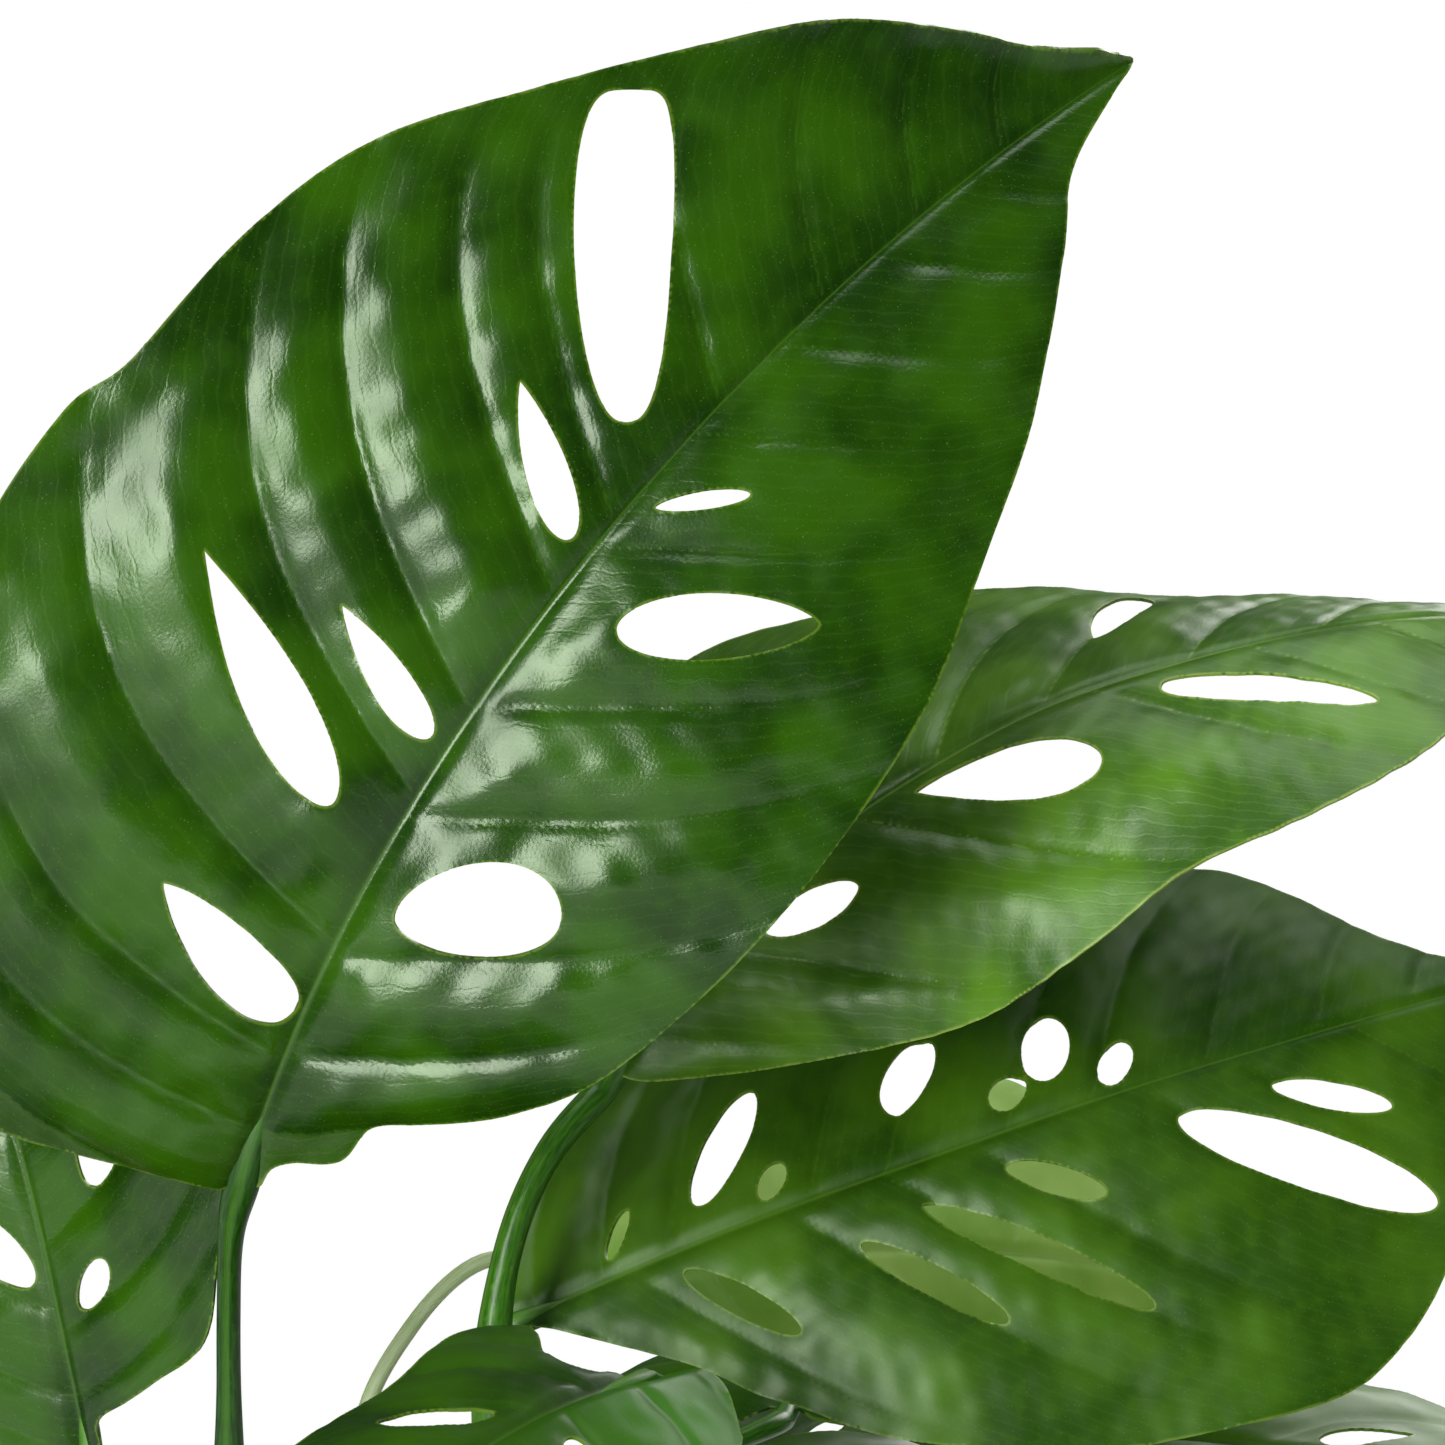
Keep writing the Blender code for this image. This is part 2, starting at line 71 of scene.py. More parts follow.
def aimed(thing, place, aim):
    thing.location = place
    thing.rotation_euler = (Vector(aim) - Vector(place)).to_track_quat("-Z", "Y").to_euler()
    bpy.context.scene.collection.objects.link(thing)


def makeStudio():
    scene = bpy.context.scene
    rise = math.radians(studio["elevation"])
    target = Vector(studio["target"])
    camera = bpy.data.objects.new("camera", bpy.data.cameras.new("camera"))
    camera.data.sensor_width = studio["sensor"]
    camera.data.lens = camera.data.sensor_width * studio["distance"] / studio["seen"]
    back = Vector((0, -math.cos(rise), math.sin(rise))) * studio["distance"]
    aimed(camera, target + back, target)
    scene.camera = camera
    for name, place, aim, size, watts, colour in softboxes:
        light = bpy.data.lights.new(name, "AREA")
        light.shape = "RECTANGLE"
        light.size, light.size_y = size
        light.energy = watts
        light.color = colour
        aimed(bpy.data.objects.new(name, light), place, aim)
    world = bpy.data.worlds.new("whiteRoom")
    scene.world = world
    world.use_nodes = True
    tree = world.node_tree
    tree.nodes.clear()
    seen = put(tree, "Background", {}, {"Color": (1, 1, 1, 1), "Strength": 1.0})
    soft = put(tree, "Background", {}, {"Color": (0.97, 1.0, 1.0, 1), "Strength": studio["sky"]})
    rays = put(tree, "LightPath", {}, {})
    mix = put(tree, "MixShader", {},
              {0: rays.outputs["Is Camera Ray"], 1: soft.outputs[0], 2: seen.outputs[0]})
    put(tree, "OutputWorld", {}, {"Surface": mix.outputs[0]})
    scene.view_settings.view_transform = "Standard"

    bm = bmesh.new()
    bmesh.ops.create_circle(bm, cap_ends=True, segments=96, radius=studio["floorRadius"])
    bmesh.ops.translate(bm, verts=bm.verts, vec=(0, 0, cadBox[0].z))
    floor = newObject("floor", bm, None)
    floor.data.materials.append(plainMaterial("floorPaper", studio["floorColour"], 0.9))


def put(tree, kind, settings, inputs):    # one node, with its settings and what goes into it
    made = tree.nodes.new("ShaderNode" + kind)
    for key, value in settings.items():
        setattr(made, key, value)
    for key, value in inputs.items():
        if isinstance(value, bpy.types.NodeSocket):
            tree.links.new(value, made.inputs[key])
        else:
            made.inputs[key].default_value = value
    return made


def maths(tree, operation, first, second=0.0):
    return put(tree, "Math", {"operation": operation}, {0: first, 1: second}).outputs[0]


def plus(tree, first, second):
    return maths(tree, "ADD", first, second)


def times(tree, first, second):
    return maths(tree, "MULTIPLY", first, second)


def ramp(tree, value, low, high, start=0.0, end=1.0):         # a smooth step between two values
    inputs = {"Value": value, "From Min": low, "From Max": high, "To Min": start, "To Max": end}
    return put(tree, "MapRange", {"interpolation_type": "SMOOTHSTEP"}, inputs).outputs[0]


def mixed(tree, share, first, second):
    return put(tree, "Mix", {"data_type": "RGBA"}, {0: share, 6: first, 7: second}).outputs[2]


def layered(tree, colour, layers):        # screen colours laid over one another, each by its share
    for share, over in layers:
        colour = mixed(tree, share, colour, linear(over))
    return colour


def field(tree, name):                    # a value that the mesh carries at its points
    return put(tree, "Attribute", {"attribute_name": name}, {}).outputs["Fac"]


def noise(tree, vector, scale, detail=2.0):
    return put(tree, "TexNoise", {}, {"Vector": vector, "Scale": scale, "Detail": detail}).outputs["Fac"]


def bumped(tree, strength, distance, height):
    inputs = {"Strength": strength, "Distance": distance, "Height": height}
    return put(tree, "Bump", {}, inputs).outputs[0]


def surfaced(tree, colour, roughness, inputs):               # the shader that most of the materials end in
    inputs = {"Base Color": colour, "Roughness": roughness, **inputs}
    return put(tree, "BsdfPrincipled", {}, inputs).outputs[0]


def newMaterial(name):
    material = bpy.data.materials.new(name)
    material.use_nodes = True
    material.node_tree.nodes.clear()
    return material, material.node_tree


def ended(material, surface):             # gives the material its surface and hands it back
    put(material.node_tree, "OutputMaterial", {}, {"Surface": surface})
    return material


def plainMaterial(name, colour, roughness):
    material, tree = newMaterial(name)
    return ended(material, surfaced(tree, (*colour, 1), roughness, {}))


def linear(levels):                       # a screen colour, three levels from 0 to 255, as a linear one
    parts = [value / 255 for value in levels]
    return tuple(p / 12.92 if p < 0.04045 else ((p + 0.055) / 1.055) ** 2.4 for p in parts) + (1,)


def newObject(name, bm, collection):
    mesh = bpy.data.meshes.new(name)
    bm.to_mesh(mesh)
    bm.free()
    made = bpy.data.objects.new(name, mesh)
    (collection or bpy.context.scene.collection).objects.link(made)
    return made


def finishPiece(piece, nodeName):   # every piece rides on the one body and stands for its node
    piece.data.shade_smooth()
    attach(piece, "root")
    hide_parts(nodeName)


def meshFrom(thing):                      # what a curve or the modifiers of an object make, as a mesh
    bpy.context.view_layer.update()
    return bpy.data.meshes.new_from_object(thing.evaluated_get(bpy.context.evaluated_depsgraph_get()))


def settle(piece):
    made = meshFrom(piece)
    piece.modifiers.clear()
    piece.data = made


def pointsOf(mesh):
    points = np.empty(len(mesh.vertices) * 3, np.float32)
    mesh.vertices.foreach_get("co", points)
    return points.reshape(-1, 3).astype(float)


def setPoints(mesh, points):
    mesh.vertices.foreach_set("co", points.astype(np.float32).ravel())
    mesh.update()


def setField(mesh, name, values):
    mesh.attributes.new(name, "FLOAT", "POINT").data.foreach_set("value", values.astype(np.float32))


def walkedAlong(path):                    # how far along the path each of its points is
    return np.concatenate([[0], np.cumsum(np.linalg.norm(np.diff(path, axis=0), axis=1))])


def unit(rows):
    return rows / np.linalg.norm(rows, axis=-1, keepdims=True)


def ease(values, low, high):              # 0 below low, 1 above high, smooth between
    share = np.clip((values - low) / (high - low), 0, 1)
    return share * share * (3 - 2 * share)


def smoothPath(points, spacing, closed=False):               # a curve through the points, at a spacing
    points = [np.array(point, float) for point in points]
    count = len(points)
    made = []
    for index in range(count if closed else count - 1):
        if closed:
            a, b, c, d = [points[(index + k) % count] for k in (-1, 0, 1, 2)]
        else:
            b, c = points[index], points[index + 1]
            a = points[index - 1] if index else 2 * b - c
            d = points[index + 2] if index + 2 < count else 2 * c - b
        steps = max(1, round(np.linalg.norm(c - b) / spacing))
        for t in np.arange(steps) / steps:
            made.append(0.5 * (2 * b + (c - a) * t + (2 * a - 5 * b + 4 * c - d) * t * t
                               + (3 * b - a - 3 * c + d) * t ** 3))
    if not closed:
        made.append(points[-1])
    return np.array(made)


# Millimetres. Midrib: four Bezier points. Faces: where the blade looks at its base and its tip.
# Outline and holes: along the midrib, then across it, left of it negative. A hole runs from its inner
# end to its outer end, with its width and how pointed its ends are, from 0.3 blunt to 1.2, or else 0.5.
# Veins: where they leave the midrib, and how steeply at its base, middle and tip. Puff: the swelling
# between two veins. Cup: the left margin's forward curl. Painted lit patch: a lighter patch of painted light,
# where light shines through the lobe, with its place and size.
# Sheath and knuckle: the stalk's thickening at its foot and under the blade. Stout: its whole thickness.
leaves = {
    "tall": {
        "midrib": [(-16, -30, 242), (2, -58, 300), (51, -49, 355), (98, -12, 383)],
        "faces": [(0.1, -1, 0.25), (0.1, -1, 0.2)], "fold": 7, "curl": 0.12, "grid": 0.8,
        "left": [(-4.4, -1.6), (-4.8, -6), (-4.6, -12), (-4, -22), (-1.7, -32.5), (8, -46), (24, -56),
                 (52, -63.4), (71, -63.7), (80, -60.3), (98, -58.7), (113, -54.6), (129.5, -44.4),
                 (147.4, -33.8), (161.5, -25.4), (173.5, -15.4), (182.7, -7.2), (191.5, -2)],
        "right": [(-3, 2.2), (0.2, 3.2), (2.3, 5.6), (5.2, 11.4), (12, 13.8), (15.3, 19.4), (21.7, 28.5),
                  (34.2, 37.9), (53, 44.1), (72.4, 47), (92, 47.1), (108.4, 44.8), (122.7, 40),
                  (142.7, 31.5), (155.8, 23.7), (167.5, 15.1), (176.2, 7.4), (188.3, 2.3)],
        "holes": [(109.4, -7, 137.5, -36, 12.4, 0.4, 0.22), (93.8, -3, 104.4, -20.5, 5.5, 0.5, 0.9),
                  (103.7, 2.7, 112.9, 10.6, 2.4, 0.6, 0.5), (88.4, 8.9, 105.9, 28, 8.6, 0.5, 0.65),
                  (50.7, -8.6, 67.8, -39.1, 7.8, 0.55, 1.05), (63.5, -2.5, 71.2, -21, 5.2, 0.5, 0.9),
                  (22.3, -1.3, 32.8, -22.9, 9, 0.45, 0.85), (40.9, 5.4, 54.5, 22.9, 13, 0.6, 0.45)],
        "veins": {"left": [5, 16, 34, 56, 69, 87, 99, 119, 138, 155, 170], "slopes": [0.15, 0.52, 0.6],
                  "right": [17, 32, 53, 70, 95, 114, 130, 147, 163], "rightSlopes": [0.35, 0.7, 0.95]},
        "puff": 2.3, "rightPuff": 1.5, "cup": 6, "look": "deep",
        "stalk": [(-20.4, -3.1, 182), (-20, -7, 202), (-19.6, -13, 219), (-18.6, -22, 232)], "sheath": 1.6,
        "knuckle": 0.6, "stalkLook": "deep",
    },
    "upper_right": {
        "midrib": [(30, 6, 249), (61, -11, 301), (122, -5, 317.5), (175, 6, 308)],
        "faces": [(0.17, -1.22, 0.85), (0.03, -0.11, 0.95)], "fold": -15, "curl": 0.11, "grid": 0.85,
        "left": [(0.4, -2.3), (5, -9), (11.5, -22), (21, -32), (37, -46.5), (54, -48), (77, -46), (92, -40),
                 (104, -33), (120, -27), (138, -17), (153, -6)],
        "right": [(3, 6), (14, 16), (31, 26), (52, 33), (68, 34), (86, 31), (104, 31), (122, 26), (140, 15),
                  (156, 5)],
        "holes": [(88.7, -15.5, 97, -31.5, 7, 0.5, 0.35), (93.3, 3.7, 119.8, 15.8, 4.6, 0.35, 0.4),
                  (57.9, 2.6, 82.2, 13, 8, 0.9, 0.5), (30, 4.9, 44.7, 9.6, 5, 0.6, 0.6)],
        "veins": {"left": [4, 15, 29, 46, 62, 78, 98, 116, 132], "slopes": [0.2, 0.5, 0.7],
                  "right": [6, 22, 48, 84, 105, 122, 138], "rightSlopes": [0.6, 1.2, 1.3]},
        "puff": 1.7, "look": "pale",
        "stalk": [(15.1, 0, 201), (14.5, -1, 214), (17, 0, 228), (22, 3, 239)], "sheath": 1.5, "stout": 1.3,
    },
    "lower_right": {
        "midrib": [(16, 10, 215), (62, 6, 236), (112, 7, 252), (158, 26, 261)],
        "faces": [(-0.1, -0.75, 0.6), (0.15, -0.75, 0.6)], "fold": -10, "curl": 0.12, "grid": 0.85,
        "left": [(-2, -1), (0, -3.8), (2, -10), (5, -16), (7.5, -22.5), (10.5, -26.8), (14.2, -30.8),
                 (21, -34), (32, -39), (48, -43), (80, -43), (109, -35), (120, -27), (131, -12), (142, -3)],
        "right": [(2.9, 1.9), (6.5, 4.2), (11, 7.6), (15.7, 11.2), (22.5, 16.5), (28.8, 22.6), (33.5, 26),
                  (40, 31.4), (48, 36.2), (60, 41), (76, 45), (100, 47), (114, 42), (126, 31), (139, 15),
                  (148, 4)],
        "holes": [(29.5, -5, 41, -20.5, 6.8), (58, -8.5, 66, -19, 6.6), (79, -5, 82.5, -16, 6.8),
                  (86.5, -1.5, 91, -7.5, 4.6), (25, 3.5, 37, 17, 4), (48.5, 8.5, 63.5, 25, 4),
                  (58, 6.5, 82.5, 29, 4.6), (70, 5, 81.5, 13, 4), (94, 6, 123.5, 27, 8.2),
                  (107.5, 5.5, 122, 13, 3.8), (15.8, -2.6, 20.2, -9.2, 2.6), (38, -2.2, 42, -6.6, 3.4),
                  (71.2, -3.6, 76.3, -7, 4.6)],
        "veins": {"left": [4, 14, 24, 44, 55, 72, 84, 100, 116, 130], "slopes": [0.2, 0.5, 0.6],
                  "right": [6, 18, 40, 54, 66, 90, 104, 120, 134], "rightSlopes": [0.6, 0.85, 1.0]},
        "puff": 1.6, "rightPuff": 0.8, "look": "mid",
        "stalk": [(13.7, 4.8, 176), (14.5, 9.5, 190), (13.5, 13.5, 202), (13.5, 13, 209)], "sheath": 1.4,
    },
    "lower_left": {
        "midrib": [(-40, 4, 196), (-45, 0, 229), (-52, -4, 269), (-77, 14, 299)],
        "faces": [(-0.55, -0.8, 0.2), (-0.5, -0.8, 0.35)], "fold": 8, "curl": 0.1, "grid": 0.8,
        "left": [(-3, -4), (-4, -13), (6, -24), (22, -32), (40, -34), (60, -31), (80, -23), (95, -12),
                 (104, -4)],
        "right": [(3, 3), (7, 4), (10, 10), (13, 16), (18, 25), (27, 29), (40, 33), (60, 31), (78, 24),
                  (94, 12), (105, 3)],
        "holes": [(38.5, 11, 54, 20, 7), (22.5, 5, 29, 11.5, 4, 0.6, 0.5),
                  (26, -2.5, 42, -17, 8, 0.5, 0.6), (52, -4, 64, -15, 5, 0.5, 0.6)],
        "veins": {"left": [2, 10, 22, 46, 68, 84], "slopes": [0.3, 0.6, 0.7],
                  "right": [2, 10, 19, 31, 44, 62, 78, 92], "rightSlopes": [0.4, 0.6, 0.7]},
        "puff": 0.9, "look": "deep",
        "stalk": [(-26.6, 1.5, 148), (-34, 3, 164), (-38.8, 4, 178), (-40, 4.5, 188)],
    },
    "front": {
        "midrib": [(34, -32, 215), (11, -59, 213), (-6, -89, 200), (-19, -120, 184)],
        "faces": [(-0.1, -0.6, 0.8), (-0.3, -0.8, 0.6)], "fold": -8, "curl": 0.1, "grid": 0.8,
        "left": [(-4, -0.2), (-7.5, -0.2), (-10, -0.8), (-12, -3.4), (-10.2, -8), (-6.1, -13.7), (-4, -16),
                 (10, -26), (30, -30), (52, -28), (74, -19), (92, -8), (102, -2)],
        "right": [(1.5, 2.8), (3.8, 3.1), (5.1, 7), (3.3, 12.8), (-3.3, 21), (-3.3, 23), (2, 24.8),
                  (10, 24.4), (20, 22), (28.5, 21.4), (40, 21.9), (54, 22), (74, 18), (90, 9), (101, 2)],
        "holes": [(23.1, 4.4, 33.7, 14.6, 6.9), (20, -6, 32, -21, 6, 0.5, 0.6),
                  (46, -4, 58, -17, 6, 0.5, 0.6), (50, 4, 60, 14, 4.5, 0.5, 0.6)],
        "veins": {"left": [2, 16, 36, 62, 80], "slopes": [0.1, 0.6, 0.7],
                  "right": [1, 9, 20, 38, 62, 80], "rightSlopes": [0.1, 0.6, 0.7]},
        "puff": 0.4, "rightPuff": 0.9, "look": "shade", "paintedLitPatch": (-1, -14, 20),
        "stalk": [(16.2, -6, 166), (26, -10, 184), (35, -16, 201), (38.5, -24, 210)],
    },
    "behind_right": {
        "midrib": [(34, 46, 216), (51.6, 52, 218), (77, 66, 219.8), (116, 88, 207.3)],
        "faces": [(-0.2, -0.75, 0.65), (0, -0.85, 0.5)], "fold": -5, "curl": 0.1, "grid": 1.1,
        "left": [(-4, -2.4), (-6, -4.5), (-5.3, -8.5), (-1.5, -13.8), (3.5, -15.4), (7.6, -13.5),
                 (10.3, -8.2), (15, -6.7), (20, -10.3), (25, -17.7), (32.4, -22), (40.3, -23.2),
                 (48.2, -24.1), (56.2, -27.9), (63.3, -31.4), (67, -31.5), (71, -29), (75.4, -24.8),
                 (83, -15.7), (89, -4.8)],
        "right": [(-3, 2.4), (-1.4, 7.3), (5, 13), (15, 17.8), (29, 21.3), (43.7, 21.6), (58.6, 18),
                  (72.6, 11.6), (82.8, 6), (89.3, 2.4)],
        "holes": [],
        "veins": {"left": [4, 13, 26, 42, 58, 74, 84], "slopes": [0.2, 0.55, 0.7],
                  "right": [2, 9, 22, 37, 52, 67, 80], "rightSlopes": [0.2, 0.55, 0.7]},
        "puff": 0.8, "look": "young",
        "stalk": [(10.6, 33.4, 148), (-4, 36, 170), (-5, 39, 194), (2, 40, 209), (12, 42, 218),
                  (23, 51.5, 215)],
        "stalkLook": "young", "stout": 0.72,
    },
    "far_right": {
        "midrib": [(86, 28, 195), (112, 22, 202), (150, 8, 195), (184, -6, 160)],
        "faces": [(0, -0.4, 0.9), (0.4, -0.3, 0.8)], "fold": -6, "curl": 0.12, "look": "bright",
        "stalk": [(20, -4, 150), (40, 4, 170), (62, 16, 187), (80, 25, 194)],
    },
    "front_right": {
        "midrib": [(44, -14, 195), (62, -24, 199), (90, -46, 178), (102, -68, 140)],
        "faces": [(0.1, -0.5, 0.85), (0.6, -0.6, 0.3)], "fold": -6, "curl": 0.12, "look": "shade",
        "stalk": [(18.4, -8.4, 146), (30, -10, 164), (38, -10, 180), (42.5, -11, 190)],
    },
    "far_left": {
        "midrib": [(-72, 40, 222), (-96, 38, 254), (-136, 26, 270), (-180, 10, 254)],
        "faces": [(-0.2, -0.7, 0.7), (-0.3, -0.6, 0.75)], "fold": 7, "curl": 0.12, "look": "deep",
        "stalk": [(-25.5, 3, 158), (-38, 16, 180), (-53, 30, 200), (-65, 38, 213)],
    },
    "front_left": {
        "midrib": [(-34, -46, 166), (-52, -66, 178), (-82, -92, 162), (-100, -112, 122)],
        "faces": [(-0.2, -0.45, 0.9), (-0.6, -0.7, 0.35)], "fold": -6, "curl": 0.12, "look": "mid",
        "stalk": [(-22.4, -3, 138), (-25, -15, 150), (-29, -30, 159), (-32, -40, 163)],
    },
    "back_left": {
        "midrib": [(-34, 56, 174), (-54, 80, 188), (-90, 112, 176), (-114, 134, 134)],
        "faces": [(-0.3, 0.2, 0.95), (-0.6, 0.7, 0.5)], "fold": -6, "curl": 0.12, "look": "deep",
        "stalk": [(8.8, 31.3, 138), (-6, 38, 152), (-20, 45, 163), (-28, 51, 171)],
    },
    "back": {
        "midrib": [(54, 78, 192), (62, 112, 207), (68, 156, 191), (72, 190, 145)],
        "faces": [(0, 0.1, 1), (0, 0.85, 0.5)], "fold": -6, "curl": 0.12, "look": "shade",
        "stalk": [(26.4, 41, 176), (35, 52, 184), (45, 64, 188), (52, 71, 190)], "sheath": 1.6,
    },
    "back_right": {
        "midrib": [(84, 62, 172), (112, 84, 188), (150, 108, 176), (182, 128, 136)],
        "faces": [(0.1, 0, 1), (0.7, 0.4, 0.5)], "fold": -6, "curl": 0.12, "look": "deep",
        "stalk": [(19, 33.6, 142), (38, 44, 154), (60, 53, 163), (76, 59, 168)],
    },
    "low_back": {
        "midrib": [(-6, 64, 150), (-14, 88, 160), (-22, 118, 140), (-26, 134, 98)],
        "faces": [(0, 0.2, 1), (-0.1, 0.95, 0.3)], "fold": -6, "curl": 0.12, "look": "mid",
        "stalk": [(9.4, 32.6, 130), (4, 41, 139), (0, 51, 145), (-4, 58, 148)],
    },
}

ordinaryLeaf = {                          # shares of the length
    "side": [(-0.03, 0.045), (-0.025, 0.12), (0.04, 0.21), (0.16, 0.275), (0.31, 0.3), (0.47, 0.285),
             (0.63, 0.235), (0.78, 0.15), (0.89, 0.065), (0.96, 0.02)],
    "veinsLeft": [0.04, 0.13, 0.29, 0.46, 0.62, 0.78, 0.9],
    "veinsRight": [0.02, 0.09, 0.23, 0.39, 0.55, 0.72, 0.86],
    "slopes": [0.2, 0.55, 0.7], "puff": 1.3, "grid": 1.15,
    "leftScale": 1.06, "rightScale": 0.95, "holeInset": 0.035, "holeWidth": 0.055,
}

bladeShape = {                            # millimetres; hook is the veins' turn towards the tip at the margin
    "thickness": 0.45, "hook": 0.32, "vein": 0.4, "veinWidth": 1.0, "rib": 1.2, "ribWidth": 1.4,
    "ribNarrows": 0.9, "lip": 0.2, "lipWidth": 1.3, "wave": 0.5, "waveLength": 37, "roll": 0.35,
    "rollSizes": (18, 46), "dapple": 0.14, "dappleSizes": (4, 10), "swellSkew": 1.1, "swellPower": 1.55,
    "usualGap": 18,
}

# Screen colours from 0 to 255: dark and light green, veins, rim, and the glow of light through the blade.
# Through is how much light that is, rough and shine are the gloss, veinShow how much paler the veins are,
# and grain the strength of the fine relief.
leafLooks = {
    "deep": {"dark": (20, 56, 0), "light": (48, 94, 2), "vein": (84, 128, 40), "rim": (116, 150, 44),
             "glow": (90, 170, 0), "through": 0.12, "rough": 0.22, "shine": 0.5, "veinShow": 0.2,
             "grain": 1.0},
    "pale": {"dark": (52, 96, 12), "light": (92, 142, 28), "vein": (158, 192, 100), "rim": (170, 196, 90),
             "glow": (140, 190, 10), "through": 0.18, "rough": 0.34, "shine": 0.5, "veinShow": 0.4,
             "grain": 1.0},
    "mid": {"dark": (38, 80, 2), "light": (74, 120, 14), "vein": (100, 146, 50), "rim": (126, 160, 56),
            "glow": (110, 180, 0), "through": 0.15, "rough": 0.38, "shine": 0.4, "veinShow": 0.2,
            "grain": 0.3},
    "shade": {"dark": (28, 66, 0), "light": (54, 100, 4), "vein": (84, 130, 40), "rim": (120, 156, 50),
              "glow": (110, 180, 0), "through": 0.12, "rough": 0.32, "shine": 0.2, "veinShow": 0.2,
              "grain": 0.5},
    "bright": {"dark": (58, 104, 6), "light": (86, 136, 18), "vein": (110, 158, 50), "rim": (140, 172, 70),
               "glow": (110, 180, 0), "through": 0.15, "rough": 0.4, "shine": 0.2, "veinShow": 0.2,
               "grain": 0.5},
    # young: a paler young leaf, with its greens raised further as painted light, standing in for light
    # shining through it from behind
    "young": {"dark": (152, 206, 76), "light": (196, 232, 120), "vein": (205, 228, 160),
              "rim": (190, 214, 130), "glow": (190, 228, 100), "through": 0.35, "rough": 0.45, "shine": 0.3,
              "veinShow": 0.4, "grain": 0.4},
}

leafMarks = {                             # colours that all the leaves share, and noise scales per millimetre
    # the first colour is the lit patch's green: painted light, where light shines through the blade
    "paintedLitPatch": (64, 134, 6), "dust": (130, 165, 105), "back": (110, 150, 90), "backVein": (150, 178, 112),
    "cloudScale": 0.045, "patchScale": 0.3, "grainScale": 2.2, "glossScale": 0.12, "dustScale": 4.0,
    "threads": 2.6, "threadWander": 7.0,
}


def ordinarySides(leaf, length):          # outline, holes and veins of an ordinary leaf
    shape = ordinaryLeaf
    leaf["left"] = [(u * length, -w * shape["leftScale"] * length) for u, w in shape["side"]]
    leaf["right"] = [(u * length, w * shape["rightScale"] * length) for u, w in shape["side"]]
    leaf["veins"] = {"left": [u * length for u in shape["veinsLeft"]], "slopes": shape["slopes"],
                     "right": [u * length for u in shape["veinsRight"]], "rightSlopes": shape["slopes"]}
    leaf["holes"] = []
    for sign, side in ((-1, "left"), (1, "right")):
        veins = leaf["veins"][side]
        for index in range(1, 5):
            start = 0.5 * (veins[index] + veins[index + 1]) - 0.02 * length
            reach = (0.15 - 0.02 * index) * length
            inset = shape["holeInset"] * length
            leaf["holes"].append((start, sign * inset, start + 0.55 * reach + 0.02 * length,
                                  sign * (inset + reach), (shape["holeWidth"] - 0.005 * index) * length,
                                  0.5, 0.8))
    leaf["puff"] = shape["puff"]
    leaf["grid"] = shape["grid"]


def walkMidrib(leaf):
    a, b, c, d = np.array(leaf["midrib"], float)
    t = np.linspace(0, 1, 321)[:, None]
    points = a * (1 - t) ** 3 + 3 * b * t * (1 - t) ** 2 + 3 * c * t * t * (1 - t) + d * t ** 3
    leaf["path"] = points
    leaf["walked"] = walkedAlong(points)
    leaf["length"] = leaf["walked"][-1]


def onMidrib(leaf, distance):
    return np.stack([np.interp(distance, leaf["walked"], leaf["path"][:, k]) for k in range(3)], -1)


def bladeFrame(leaf, along):              # a point on the midrib with its directions ahead, aside and out
    inside = np.clip(along, 0, leaf["length"])
    ahead = unit(onMidrib(leaf, inside + 1) - onMidrib(leaf, inside - 1))
    spot = onMidrib(leaf, inside) + ahead * (along - inside)[:, None]
    share = (inside / leaf["length"])[:, None]
    first, last = unit(np.array(leaf["faces"], float))
    out = first * (1 - share) + last * share
    out = unit(out - ahead * (out * ahead).sum(-1, keepdims=True))
    return spot, ahead, np.cross(ahead, out), out


def bend(leaf, along, across, lift=0.0):  # from the flat blade to its place in space
    spot, _, aside, out = bladeFrame(leaf, along)
    fold = math.radians(leaf["fold"])
    reach = np.sqrt(across ** 2 + 2.0) - math.sqrt(2.0)
    rise = reach * math.sin(fold) - leaf["curl"] / (0.3 * leaf["length"]) * across ** 2 + lift
    return spot + aside * (across * math.cos(fold))[:, None] + out * rise[:, None]


def holeLoop(hole, step):                 # an egg, a slot or a teardrop
    u1, w1, u2, w2, width, inner, outer = (*hole, 0.5, 0.5)[:7]
    start, axis = np.array((u1, w1)), np.array((u2 - u1, w2 - w1))
    cross = unit(np.array((-axis[1], axis[0])))
    count = max(16, round(2.4 * np.linalg.norm(axis) / step))
    turn = math.tau * np.arange(count) / count
    share = 0.5 - 0.5 * np.cos(turn)
    widest = inner / (inner + outer)
    full = widest ** inner * (1 - widest) ** outer
    half = 0.5 * width * share ** inner * (1 - share) ** outer / full * np.sign(np.sin(turn))
    return start + axis * share[:, None] + cross * half[:, None]


